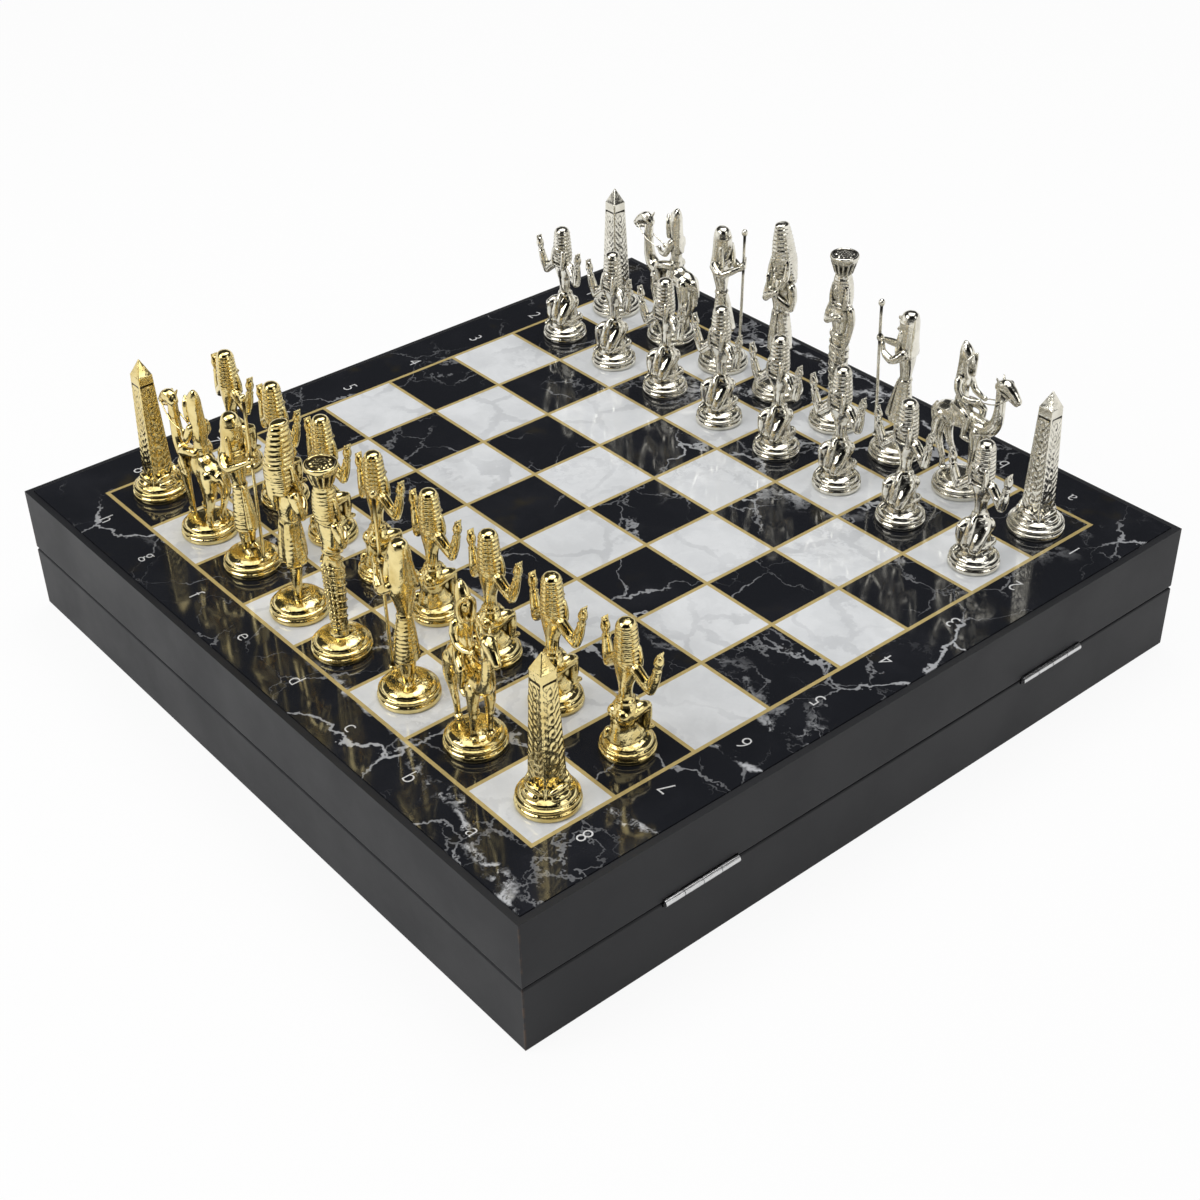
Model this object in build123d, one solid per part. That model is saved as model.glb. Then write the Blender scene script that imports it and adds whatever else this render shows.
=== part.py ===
from build123d import *
import os
from math import cos, pi, sin, sqrt

# Chess set with storage: a flat black wooden box whose hinged lid carries the board,
# a felt-lined base with one slot for each chessman, and thirty-two cast metal figures.
# The origin is the centre of the underside. +Z is up, -Y is the rank 8 side, +X is the hinge side.
# All lengths are in millimetres.

# Board and box
square = 40.0
squares_per_side = 8
border = 28.5
base_height = 32.5
lid_height = 32.5
wall = 10.0
edge_round = 1.3
fit = 0.2

# Lid top
rim_width = 3.2
rim_fall = 0.5
rim_round = 1.6
board_thickness = 5.0
pad_thickness = 26.0

# Base floor and storage slots
floor_thickness = 3.0
floor_rebate = 5.0
lining_thickness = 1.0
divider_thickness = 4.0
divider_drop = 1.0
officer_slot_length = 99.0
slots_per_row = 8

# Hinges
hinge_length = 38.0
hinge_spread = 205.0
barrel_diameter = 3.2
pin_diameter = 1.5
pin_clearance = 0.05
barrel_stand_out = 0.5
knuckle_count = 4
knuckle_gap = 0.3
leaf_thickness = 1.0
leaf_gap = 0.15
leaf_width = 8.4
barrel_recess_gap = 0.5

# Figures
plinth_diameter = 26.0
pawn_plinth_diameter = 23.0
plinth_height = 9.0
pawn_plinth_height = 8.0
pawn_height = 61.0
rook_height = 69.5
rook_foot_width = 10.9
rook_shoulder_width = 7.4
rook_outset = 4.8
knight_height = 74.5
knight_reach = 28.0
bishop_height = 76.0
staff_reach = 12.2
staff_diameter = 1.8
gold_staff_height = 91.0
silver_staff_height = 79.0
queen_height = 90.0
crown_diameter = 13.8
king_height = 92.5

# How far some figures stand off their square's centre, along X and Y, and are turned, in degrees
nudges = {
    "gold_queen_d8": (-5.6, -4.8),
    "gold_king_e8": (-0.4, -3.1),
    "gold_bishop_f8": (-3.4, 0),
    "gold_bishop_c8": (-1.7, -1.9),
    "gold_pawn_a7": (1.0, 2.4),
    "silver_pawn_a2": (5.0, -1.8),
}
small_turns = {"gold_knight_b8": -14, "silver_bishop_c1": 21, "silver_bishop_f1": 5}

# Rings and limbs are drawn with flats, to keep thirty-two figures light
plinth_sides = 16
body_sides = 6
limb_sides = 4

play_side = squares_per_side * square
box_side = play_side + 2 * border
half_side = box_side / 2
inner_half = half_side - wall
seam_z = base_height
top_z = base_height + lid_height
floor_top = floor_thickness + lining_thickness
hinge_x = half_side + barrel_stand_out
knuckle_pitch = hinge_length / knuckle_count
leaf_reach = leaf_width + barrel_diameter / 2


# Box walls

def mitred_rail(profile):
    """Extrude a rail profile along +Y for one side and cut both ends at 45 degrees.

    The profile lies in XZ, with X measured from the box centre.
    """
    rail = extrude(profile, amount=half_side, both=True)
    corner = [(0, 0), (box_side, -box_side), (box_side, box_side)]
    wedge = extrude(make_face(Polyline(*corner, close=True)), amount=2 * top_z)
    return rail & wedge


def base_wall_profile():
    """Section of a base wall, with a rebate under it for the floor panel."""
    with BuildSketch(Plane.XZ) as sketch:
        with BuildLine():
            Polyline(
                (inner_half, floor_thickness),
                (inner_half, base_height),
                (half_side, base_height),
                (half_side, 0),
                (inner_half + floor_rebate, 0),
                (inner_half + floor_rebate, floor_thickness),
                close=True,
            )
        make_face()
        outer = sketch.vertices().group_by(Axis.X)[-1]
        fillet(outer, radius=edge_round)
    return sketch.sketch


def lid_rail_profile():
    """Section of a lid rail: a rounded rim on top, and a ledge inside it for the board."""
    ledge_z = top_z - board_thickness
    rim_z = top_z - rim_fall
    with BuildSketch(Plane.XZ) as sketch:
        with BuildLine():
            Polyline(
                (inner_half, seam_z),
                (inner_half, ledge_z),
                (half_side - rim_width, ledge_z),
                (half_side - rim_width, rim_z),
                (half_side, rim_z),
                (half_side, seam_z),
                close=True,
            )
        make_face()
        low_outer, high_outer = sketch.vertices().group_by(Axis.X)[-1].sort_by(Axis.Y)
        fillet(low_outer, radius=edge_round)
        fillet(high_outer, radius=rim_round)
    return sketch.sketch


def around(rail):
    """The same rail on the hinge, back, opening and front sides, in that order."""
    return [Rot(0, 0, turn) * rail for turn in (0, 90, 180, 270)]


# Hinges

def hinge_centres():
    return [-hinge_spread / 2, hinge_spread / 2]


def knuckle_span(index):
    """Start and end of one knuckle along Y, from the hinge centre."""
    start = -hinge_length / 2 + index * knuckle_pitch
    low = start + (knuckle_gap / 2 if index > 0 else 0)
    high = start + knuckle_pitch - (knuckle_gap / 2 if index < knuckle_count - 1 else 0)
    return low, high


def box_between(x0, x1, y0, y1, z0, z1):
    return Pos((x0 + x1) / 2, (y0 + y1) / 2, (z0 + z1) / 2) * Box(x1 - x0, y1 - y0, z1 - z0)


def rod_y(radius, low, high):
    """A round bar along Y, centred on the hinge axis."""
    bar = Rot(90, 0, 0) * Cylinder(radius, high - low)
    return Pos(0, (low + high) / 2, 0) * bar


def hinge_leaf(upper):
    """One leaf with its knuckles. The lid has the second and fourth knuckles."""
    sign = 1 if upper else -1
    near, far = sorted([sign * leaf_gap, sign * (leaf_gap + leaf_thickness)])
    plate = box_between(-leaf_reach, 0, -hinge_length / 2, hinge_length / 2, near, far)
    clear = barrel_diameter / 2 + barrel_recess_gap / 2
    own = 1 if upper else 0
    for index in range(knuckle_count):
        low, high = knuckle_span(index)
        if index % 2 == own:
            plate += rod_y(barrel_diameter / 2, low, high)
        else:
            reach = knuckle_gap
            plate -= box_between(-clear, 1, low - reach, high + reach, near - 1, far + 1)
    plate -= rod_y(pin_diameter / 2 + pin_clearance, -hinge_length, hinge_length)
    return plate


def barrel_recess(upper):
    """What is cut from a wall for the barrel and one leaf."""
    sign = 1 if upper else -1
    deep = barrel_diameter / 2 + barrel_recess_gap
    end = hinge_length / 2 + barrel_recess_gap
    low, high = sorted([0, sign * deep])
    recess = box_between(-deep, deep, -end, end, low, high)
    low, high = sorted([0, sign * (leaf_gap + leaf_thickness)])
    recess += box_between(-leaf_reach, 0, -hinge_length / 2, hinge_length / 2, low, high)
    return recess


def at_hinges(shape):
    return [Pos(hinge_x, y, seam_z) * shape for y in hinge_centres()]


# Storage slots in the base

def row_edges():
    """Centre lines, along X, of the three long dividers."""
    side_row = inner_half - officer_slot_length - divider_thickness / 2
    return [-side_row, 0, side_row]


def slot_pitch():
    return (2 * inner_half + divider_thickness) / slots_per_row


def cross_edges():
    """Centre lines, along Y, of the seven cross dividers."""
    return [(n - slots_per_row / 2) * slot_pitch() for n in range(1, slots_per_row)]


def long_divider(x):
    """A divider along Y, notched from above for the cross dividers."""
    low, high = floor_top, seam_z - divider_drop
    half = divider_thickness / 2
    length = inner_half - fit
    slat = box_between(x - half, x + half, -length, length, low, high)
    middle = (low + high) / 2
    for y in cross_edges():
        slat -= box_between(x - half, x + half, y - half - fit / 2, y + half + fit / 2, middle, high)
    return slat


def cross_divider(y):
    """A divider along X, notched from below for the long dividers."""
    low, high = floor_top, seam_z - divider_drop
    half = divider_thickness / 2
    length = inner_half - fit
    slat = box_between(-length, length, y - half, y + half, low, high)
    middle = (low + high) / 2
    for x in row_edges():
        slat -= box_between(x - half - fit / 2, x + half + fit / 2, y - half, y + half, low, middle)
    return slat


# Figure parts. Each figure stands on z = 0 and faces +Y, with its right hand towards +X.

def oval(z, half_width, half_depth, x=0.0, y=0.0, sides=body_sides):
    """Corners of a level section with flats, as wide and deep as an ellipse."""
    step = 2 * pi / sides
    turns = [(n + 0.5) * step for n in range(sides)]
    return [Vector(x + half_width * cos(a), y + half_depth * sin(a), z) for a in turns]


def ring_across(centre, direction, side, radius, sides):
    """Corners of a round section with flats, square to a direction."""
    across = direction.cross(side).normalized()
    up = direction.cross(across).normalized()
    step = 2 * pi / sides
    turns = [(n + 0.5) * step for n in range(sides)]
    return [centre + across * (radius * cos(a)) + up * (radius * sin(a)) for a in turns]


def skin(rings):
    """A closed body through rings that have as many corners each."""
    faces = [Face(Wire.make_polygon(rings[0])), Face(Wire.make_polygon(rings[-1]))]
    for low, high in zip(rings, rings[1:]):
        for n, corner in enumerate(low):
            after = (n + 1) % len(low)
            faces.append(Face(Wire.make_polygon([corner, low[after], high[after]])))
            faces.append(Face(Wire.make_polygon([corner, high[after], high[n]])))
    return Solid(Shell(faces)).fix()


def stack(*rings):
    return skin(rings)


def limb(points, radii, side=(1, 0, 0), sides=limb_sides):
    """A tapered limb along a bent line, with its sections square to the line."""
    places = [Vector(*point) for point in points]
    runs = [(after - before).normalized() for before, after in zip(places, places[1:])]
    directions = [runs[0]] + [before + after for before, after in zip(runs, runs[1:])] + [runs[-1]]
    rings = [
        ring_across(place, direction.normalized(), Vector(*side), radius, sides)
        for place, direction, radius in zip(places, directions, radii)
    ]
    return skin(rings)


def both_sides(shape):
    return [shape, mirror(shape, about=Plane.YZ)]


def plinth(diameter, height):
    """The stepped round foot that every figure has: a wide ring and a low dome."""
    radius = diameter / 2
    ring = height * 0.38
    return stack(
        oval(0, radius, radius, sides=plinth_sides),
        oval(ring, radius, radius, sides=plinth_sides),
        oval(ring * 1.35, radius * 0.86, radius * 0.86, sides=plinth_sides),
        oval(height, radius * 0.58, radius * 0.58, sides=plinth_sides),
    )


def joined(shapes):
    """One solid from parts that overlap."""
    return shapes[0].fuse(*shapes[1:]).clean()


# Pawn: a kneeling man with his right knee up and both hands raised

def pawn():
    foot = pawn_plinth_height
    hip = foot + 14
    shoulder = pawn_height - 19
    body = stack(
        oval(hip - 3, 5.8, 4.8, y=-1.5),
        oval(hip + 7, 3.2, 2.8, y=-1),
        oval(shoulder - 1, 6.8, 4.0),
        oval(shoulder + 3, 5.2, 5.0),
        oval(pawn_height - 1, 4.1, 4.1),
        oval(pawn_height, 3.2, 3.2),
    )
    raised_leg = limb([(3.0, -1.5, hip), (3.8, 7.4, hip + 1), (3.6, 5.4, foot - 2.5)], [3.5, 2.8, 2.2])
    kneeling_line = [(-3.0, -1.5, hip + 1), (-3.6, 5.2, foot + 1.6), (-3.4, -7.0, foot + 0.6)]
    kneeling_leg = limb(kneeling_line, [3.5, 2.8, 2.2])
    arm_line = [
        (5.4, 0, shoulder - 0.4),
        (12.6, 1.6, shoulder - 9),
        (14.9, 2.4, shoulder + 3),
        (16.0, 2.8, pawn_height - 8),
    ]
    arm = limb(arm_line, [2.6, 2.3, 2.0, 2.5], side=(0, 1, 0))
    base = plinth(pawn_plinth_diameter, pawn_plinth_height)
    return joined([base, body, raised_leg, kneeling_leg, *both_sides(arm)])


# Rook: a square obelisk with a pyramid tip

def square_ring(z, width):
    return oval(z, width / sqrt(2), width / sqrt(2), sides=4)


def rook():
    foot = plinth_height - 1
    tip = 7.8
    collar_height = 4.5
    collar_flare = 3.6
    collar = stack(
        square_ring(foot - 1, rook_foot_width + collar_flare),
        square_ring(foot + collar_height, rook_foot_width + collar_flare / 2),
        square_ring(foot + collar_height + 1, rook_foot_width - 0.4),
    )
    shaft = stack(
        square_ring(foot, rook_foot_width),
        square_ring(rook_height - tip, rook_shoulder_width),
        square_ring(rook_height, 0.6),
    )
    return joined([plinth(plinth_diameter, plinth_height), collar, shaft])


# Knight: a standing camel and its rider

def knight():
    middle = plinth_height + 27
    saddle = plinth_height + 29
    shoulder = knight_height - 17
    trunk = limb(
        [(0, -17.5, middle - 1), (0, -11, middle), (0, 5, middle), (0, 12.5, middle + 0.5)],
        [2.6, 5.2, 5.4, 3.4],
        sides=body_sides,
    )
    neck = limb(
        [(0, 8, middle), (0, knight_reach - 11, middle + 2.5), (0, knight_reach - 8, middle + 25)],
        [4.0, 2.8, 2.0],
        sides=body_sides,
    )
    head_line = [
        (0, knight_reach - 11.5, middle + 25),
        (0, knight_reach - 6, middle + 24),
        (0, knight_reach, middle + 20.5),
    ]
    head = limb(head_line, [2.5, 3.3, 1.9])
    hind_leg = limb([(3.2, -10, middle), (3.6, -7.8, plinth_height - 3)], [3.0, 1.6])
    fore_leg = limb([(3.2, 6, middle), (3.6, 6.4, plinth_height - 3)], [2.6, 1.6])
    rider = stack(
        oval(saddle, 4.8, 5.4, y=-3),
        oval(shoulder - 9, 3.2, 3.2, y=-3),
        oval(shoulder, 4.6, 3.6, y=-3.6),
        oval(shoulder + 4, 3.4, 3.4, y=-3.6),
        oval(shoulder + 10, 3.6, 3.8, y=-3),
        oval(knight_height, 1.8, 2.2, y=-3),
    )
    leg = limb([(3.2, -3, saddle + 3), (5.8, 5.2, saddle + 1), (6.0, 3.4, saddle - 11)], [2.6, 2.1, 1.5])
    arm = limb([(3.6, -3, shoulder), (4.8, 1.6, shoulder - 9), (1.8, 7.6, saddle + 8)], [2.0, 1.8, 1.5])
    parts = [plinth(plinth_diameter, plinth_height), trunk, neck, head, rider]
    for pair in (hind_leg, fore_leg, leg, arm):
        parts += both_sides(pair)
    return joined(parts)


# Bishop: a standing priest who holds a tall staff out in front

def bishop(staff_height):
    foot = plinth_height - 2
    hem = foot + 14
    belt = foot + 33
    shoulder = bishop_height - 19
    robe = stack(
        oval(hem, 5.0, 4.4, y=-2),
        oval(belt, 3.6, 3.2, y=-2),
        oval(shoulder - 5, 5.8, 4.0, y=-2.8),
        oval(shoulder, 6.6, 4.2, y=-2.6),
        oval(shoulder + 3, 4.6, 4.4, y=-2.4),
        oval(shoulder + 12, 4.8, 4.8, y=-2),
        oval(bishop_height, 3.4, 3.8, y=-2),
    )
    leg = limb([(2.6, -2, hem + 3), (2.7, -0.8, foot)], [2.4, 2.0])
    staff_arm = limb(
        [(5.4, -2, shoulder - 0.6), (6.4, 1.8, shoulder - 9), (0.4, staff_reach + 0.6, shoulder + 3)],
        [2.4, 2.1, 1.8],
    )
    raised_arm = limb(
        [(-5.4, -2, shoulder - 0.6), (-6.4, 1.4, shoulder - 9), (-4.4, 6.6, shoulder + 5)],
        [2.4, 2.1, 1.5],
    )
    foot_of_staff = (0, staff_reach - 1.6, foot - 4)
    staff = limb([foot_of_staff, (0, staff_reach, staff_height)], [staff_diameter / 2, staff_diameter / 2])
    parts = [plinth(plinth_diameter, plinth_height), robe, staff_arm, raised_arm, staff]
    return joined(parts + both_sides(leg))


# Queen: a slim sheath dress and a flaring crown

def queen():
    foot = plinth_height - 2
    shoulder = queen_height - 25
    brow = queen_height - 12
    dress = stack(
        oval(foot, 4.4, 4.4),
        oval(foot + 6, 3.8, 3.8),
        oval(foot + 32, 5.6, 5.0),
        oval(foot + 41, 4.2, 3.8),
        oval(shoulder, 6.6, 4.4),
        oval(shoulder + 3, 4.6, 4.4),
        oval(shoulder + 8, 5.3, 5.0),
        oval(brow, 4.2, 4.2),
    )
    crown = stack(
        oval(brow - 2, 3.6, 3.6, sides=plinth_sides),
        oval(queen_height - 2, crown_diameter * 0.44, crown_diameter * 0.44, sides=plinth_sides),
        oval(queen_height - 1.6, crown_diameter / 2, crown_diameter / 2, sides=plinth_sides),
        oval(queen_height, crown_diameter / 2, crown_diameter / 2, sides=plinth_sides),
    )
    bent_arm_line = [(5.6, 0, shoulder - 0.6), (7.8, 1.4, shoulder - 10), (-2.6, 5.0, shoulder - 4)]
    bent_arm = limb(bent_arm_line, [2.3, 2.0, 1.5])
    low_arm = limb([(-5.6, 0, shoulder - 0.6), (-6.4, 1.6, shoulder - 19)], [2.2, 1.5])
    return joined([plinth(plinth_diameter, plinth_height), dress, crown, bent_arm, low_arm])


# King: arms crossed on the chest, a kilt, and a tall crown over a striped headcloth

def king():
    foot = plinth_height - 2
    hem = foot + 20
    belt = foot + 38
    shoulder = king_height - 32
    brow = king_height - 19
    robe = stack(
        oval(hem, 5.9, 5.2),
        oval(belt, 4.0, 3.6),
        oval(shoulder, 7.8, 4.8),
        oval(shoulder + 3, 6.0, 5.6),
        oval(brow, 5.8, 6.4, y=-0.6),
        oval(brow + 9, 4.4, 5.6),
        oval(king_height, 2.2, 3.6, y=1.2),
    )
    leg = limb([(2.8, 0, hem + 3), (2.8, 0.6, foot)], [2.6, 2.1])
    arm_line = [(6.8, 0, shoulder - 0.6), (8.8, 1.2, shoulder - 10), (-2.6, 5.2, shoulder - 2.4)]
    arm = limb(arm_line, [2.4, 2.2, 1.6])
    return joined([plinth(plinth_diameter, plinth_height), robe, *both_sides(leg), *both_sides(arm)])


# Starting places. File a is on the hinge side, and rank 8 is on the -Y side.

def square_centre(file_index, rank):
    x = (squares_per_side / 2 - 0.5 - file_index) * square
    y = (squares_per_side / 2 + 0.5 - rank) * square
    return x, y


def turn_of(kind, file_index, forward):
    """Knights look outwards, bishops look at the middle, and the rest at the other side."""
    outward = -90 if file_index < squares_per_side / 2 else 90
    if kind == "knight":
        return outward
    if kind == "bishop":
        return -outward
    return forward


def standing(shape, name, place, turn):
    """A figure on its square, as far off its centre and as much turned as it was put down."""
    x, y = place
    along, across = nudges.get(name, (0, 0))
    return Pos(x + along, y + across, top_z) * Rot(0, 0, turn + small_turns.get(name, 0)) * shape


def placed_figures():
    back_row = ["rook", "knight", "bishop", "queen", "king", "bishop", "knight", "rook"]
    shapes = {"pawn": pawn(), "rook": rook(), "knight": knight(), "queen": queen(), "king": king()}
    sides = {
        "gold": (8, 7, 0, bishop(gold_staff_height)),
        "silver": (1, 2, 180, bishop(silver_staff_height)),
    }
    figures = {}
    for colour, (officer_rank, pawn_rank, forward, bishop_shape) in sides.items():
        for index, letter in enumerate("abcdefgh"):
            kind = back_row[index]
            shape = bishop_shape if kind == "bishop" else shapes[kind]
            x, y = square_centre(index, officer_rank)
            if kind == "rook":
                x += rook_outset if x > 0 else -rook_outset
            turn = turn_of(kind, index, forward)
            name = f"{colour}_{kind}_{letter}{officer_rank}"
            figures[name] = standing(shape, name, (x, y), turn)
            name = f"{colour}_pawn_{letter}{pawn_rank}"
            figures[name] = standing(shapes["pawn"], name, square_centre(index, pawn_rank), forward)
    return figures


def square_sheet(half, low, high):
    return box_between(-half, half, -half, half, low, high)


def box_nodes():
    """Every piece of the box, by name."""
    sides = ("hinge", "back", "opening", "front")
    nodes = {}
    base_cuts = at_hinges(barrel_recess(False))
    lid_cuts = at_hinges(barrel_recess(True))
    base_walls = around(mitred_rail(base_wall_profile()))
    lid_rails = around(mitred_rail(lid_rail_profile()))
    for side, base_wall, lid_rail in zip(sides, base_walls, lid_rails):
        if side == "hinge":
            for cut in base_cuts:
                base_wall -= cut
            for cut in lid_cuts:
                lid_rail -= cut
        nodes[f"base_{side}_wall"] = base_wall
        nodes[f"lid_{side}_rail"] = lid_rail
    board_low = top_z - board_thickness
    nodes["base_floor"] = square_sheet(inner_half + floor_rebate - fit / 2, 0, floor_thickness)
    nodes["base_lining"] = square_sheet(inner_half - fit, floor_thickness, floor_top)
    nodes["board"] = square_sheet(half_side - rim_width - fit / 2, board_low, top_z)
    nodes["lid_pad"] = square_sheet(inner_half - fit, board_low - pad_thickness, board_low)
    for name, x in zip(("silver", "middle", "gold"), row_edges()):
        nodes[f"long_divider_{name}"] = long_divider(x)
    for number, y in enumerate(cross_edges(), start=1):
        nodes[f"cross_divider_{number}"] = cross_divider(y)
    nodes["hinge_leaves_base"] = Compound(children=at_hinges(hinge_leaf(False)))
    nodes["hinge_leaves_lid"] = Compound(children=at_hinges(hinge_leaf(True)))
    pin = rod_y(pin_diameter / 2, -hinge_length / 2, hinge_length / 2)
    nodes["hinge_pins"] = Compound(children=at_hinges(pin))
    return nodes


def main():
    os.makedirs("parts", exist_ok=True)
    nodes = box_nodes()
    nodes.update(placed_figures())
    for name, shape in nodes.items():
        export_step(shape, f"parts/{name}.step")


main()
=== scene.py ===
import math

import bpy
import numpy as np
from mathutils import Matrix, Quaternion, Vector


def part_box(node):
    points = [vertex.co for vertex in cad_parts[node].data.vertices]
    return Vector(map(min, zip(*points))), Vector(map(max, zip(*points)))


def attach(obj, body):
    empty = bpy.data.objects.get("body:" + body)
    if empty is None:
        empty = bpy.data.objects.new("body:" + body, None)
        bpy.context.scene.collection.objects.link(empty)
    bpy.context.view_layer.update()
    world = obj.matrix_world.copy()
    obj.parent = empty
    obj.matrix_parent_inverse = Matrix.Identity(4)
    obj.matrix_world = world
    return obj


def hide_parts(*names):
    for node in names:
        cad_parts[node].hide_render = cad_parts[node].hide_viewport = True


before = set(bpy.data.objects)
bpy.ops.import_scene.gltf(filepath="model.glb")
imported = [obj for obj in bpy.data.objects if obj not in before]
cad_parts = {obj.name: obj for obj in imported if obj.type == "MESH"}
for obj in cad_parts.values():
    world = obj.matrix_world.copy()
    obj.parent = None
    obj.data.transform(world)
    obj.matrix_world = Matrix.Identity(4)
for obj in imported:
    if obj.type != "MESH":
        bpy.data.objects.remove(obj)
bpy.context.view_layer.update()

# A hinged chess box with a marble-print board on its lid and thirty-two cast metal figures.
# Lengths are metres, in the part's own frame: -Y is the gold side, +X is the hinge side, and z = 0 is the table.

MM = 0.001
board_low, board_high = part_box("board")
wall_low, wall_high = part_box("base_front_wall")
rail_low, rail_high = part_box("lid_front_rail")
TOP = board_high[2]
SEAM = wall_high[2]
HALF_BOX = -wall_low[1]
HALF_BOARD = board_high[0]
SQUARE = 40 * MM
SQUARES = 8
HALF_PLAY = SQUARE * SQUARES / 2
LINE_WIDTH = 1.75 * MM
LETTERS = "abcdefgh"
MARK_SIZE = 10.6 * MM
BACK_ROW = ("rook", "knight", "bishop", "queen", "king", "bishop", "knight", "rook")


# Shader nodes

class Nodes:
    """Adds nodes to a material or a node group, and joins them."""

    def __init__(self, tree):
        self.tree = tree

    def add(self, kind, inputs=None, **settings):
        node = self.tree.nodes.new(kind)
        for key, value in settings.items():
            setattr(node, key, value)
        for key, value in (inputs or {}).items():
            self.feed(node.inputs[key], value)
        return node

    def feed(self, socket, value):
        if isinstance(value, bpy.types.NodeSocket):
            self.tree.links.new(value, socket)
        else:
            socket.default_value = value

    def math(self, operation, first, second=0.0, third=0.0, clamp=False):
        node = self.add("ShaderNodeMath", operation=operation, use_clamp=clamp)
        for socket, value in zip(node.inputs, (first, second, third)):
            self.feed(socket, value)
        return node.outputs[0]

    def vector_math(self, operation, first, second=(0, 0, 0)):
        node = self.add("ShaderNodeVectorMath", {0: first, 1: second}, operation=operation)
        return node.outputs[0]

    def ramp(self, value, low, high, from_value=0.0, to_value=1.0):
        """A smooth step of value between low and high."""
        node = self.add("ShaderNodeMapRange", interpolation_type="SMOOTHSTEP")
        for name, number in (("Value", value), ("From Min", low), ("From Max", high),
                             ("To Min", from_value), ("To Max", to_value)):
            self.feed(node.inputs[name], number)
        return node.outputs["Result"]

    def mix(self, amount, first, second, blend="MIX"):
        node = self.add("ShaderNodeMix", data_type="RGBA", blend_type=blend)
        for socket, value in zip((node.inputs[0], node.inputs[6], node.inputs[7]), (amount, first, second)):
            self.feed(socket, value)
        return node.outputs[2]

    def blend(self, amount, first, second):
        """The same mix for plain numbers."""
        node = self.add("ShaderNodeMix", data_type="FLOAT")
        for socket, value in zip((node.inputs[0], node.inputs[2], node.inputs[3]), (amount, first, second)):
            self.feed(socket, value)
        return node.outputs[0]

    def noise(self, place, scale, detail=4.0, roughness=0.55, distortion=0.0):
        return self.add("ShaderNodeTexNoise", {
            "Vector": place, "Scale": scale, "Detail": detail, "Roughness": roughness, "Distortion": distortion,
        })

    def bump(self, height, strength, distance, normal=None):
        node = self.add("ShaderNodeBump", {"Height": height, "Strength": strength, "Distance": distance})
        if normal is not None:
            self.feed(node.inputs["Normal"], normal)
        return node.outputs["Normal"]


def grey(value, alpha=1.0):
    return (value, value, value, alpha)


def new_group(name, inputs, outputs):
    """A shader node group, with its input and output nodes. Sockets are (name, kind, default)."""
    group = bpy.data.node_groups.new(name, "ShaderNodeTree")
    for socket_name, kind, default in inputs:
        socket = group.interface.new_socket(socket_name, in_out="INPUT", socket_type=kind)
        if default is not None:
            socket.default_value = default
    for socket_name, kind in outputs:
        group.interface.new_socket(socket_name, in_out="OUTPUT", socket_type=kind)
    nodes = Nodes(group)
    return group, nodes, nodes.add("NodeGroupInput").outputs, nodes.add("NodeGroupOutput").inputs


def use_group(nodes, group, **inputs):
    node = nodes.add("ShaderNodeGroup", node_tree=group)
    for name, value in inputs.items():
        nodes.feed(node.inputs[name.replace("_", " ")], value)
    return node.outputs


def marble_group():
    """Veins of marble: thin forked lines, broad streaks and soft clouds."""
    group, nodes, given, result = new_group(
        "marble_veins",
        [("Place", "NodeSocketVector", None), ("Scale", "NodeSocketFloat", 10.0),
         ("Thinness", "NodeSocketFloat", 0.02), ("Amount", "NodeSocketFloat", 0.5)],
        [("Veins", "NodeSocketFloat"), ("Streaks", "NodeSocketFloat"), ("Clouds", "NodeSocketFloat")],
    )
    scaled = nodes.vector_math("SCALE", given["Place"])
    scaled.node.inputs["Scale"].default_value = 1.0
    nodes.feed(scaled.node.inputs["Scale"], given["Scale"])
    wander = nodes.noise(scaled, 0.9, detail=6.0, roughness=0.62)
    shift = nodes.vector_math("SUBTRACT", wander.outputs["Color"], (0.5, 0.5, 0.5))
    far = nodes.vector_math("SCALE", shift)
    far.node.inputs["Scale"].default_value = 1.15
    bent = nodes.vector_math("ADD", scaled, far)
    cells = nodes.add("ShaderNodeTexVoronoi", {"Vector": bent, "Scale": 0.8, "Randomness": 1.0},
                      feature="DISTANCE_TO_EDGE")
    patches = nodes.noise(scaled, 0.55, detail=2.0)
    breaks = nodes.ramp(patches.outputs["Fac"], nodes.math("SUBTRACT", 0.62, given["Amount"]), 0.66)
    width = nodes.math("MULTIPLY", given["Thinness"], nodes.math("ADD", breaks, 0.25))
    line = nodes.ramp(cells.outputs["Distance"], nodes.math("MULTIPLY", width, 0.45), width, 1.0, 0.0)
    nodes.feed(result["Veins"], nodes.math("MULTIPLY", line, breaks))
    slant = nodes.add("ShaderNodeMapping", {"Vector": bent, "Rotation": (0, 0, 0.9), "Scale": (0.5, 1.7, 1.0)})
    bands = nodes.add("ShaderNodeTexVoronoi", {"Vector": slant.outputs[0], "Scale": 0.55}, feature="DISTANCE_TO_EDGE")
    band = nodes.ramp(bands.outputs["Distance"], 0.0, nodes.math("MULTIPLY", given["Thinness"], 3.0), 1.0, 0.0)
    strong = nodes.ramp(nodes.noise(scaled, 0.33, detail=1.0).outputs["Fac"], 0.52, 0.66)
    torn = nodes.ramp(nodes.noise(bent, 7.0, detail=7.0, roughness=0.68).outputs["Fac"], 0.46, 0.56)
    nodes.feed(result["Streaks"], nodes.math("MULTIPLY", nodes.math("MULTIPLY", band, strong), torn))
    clouds = nodes.noise(bent, 1.3, detail=7.0, roughness=0.6)
    nodes.feed(result["Clouds"], clouds.outputs["Fac"])
    return group


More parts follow.
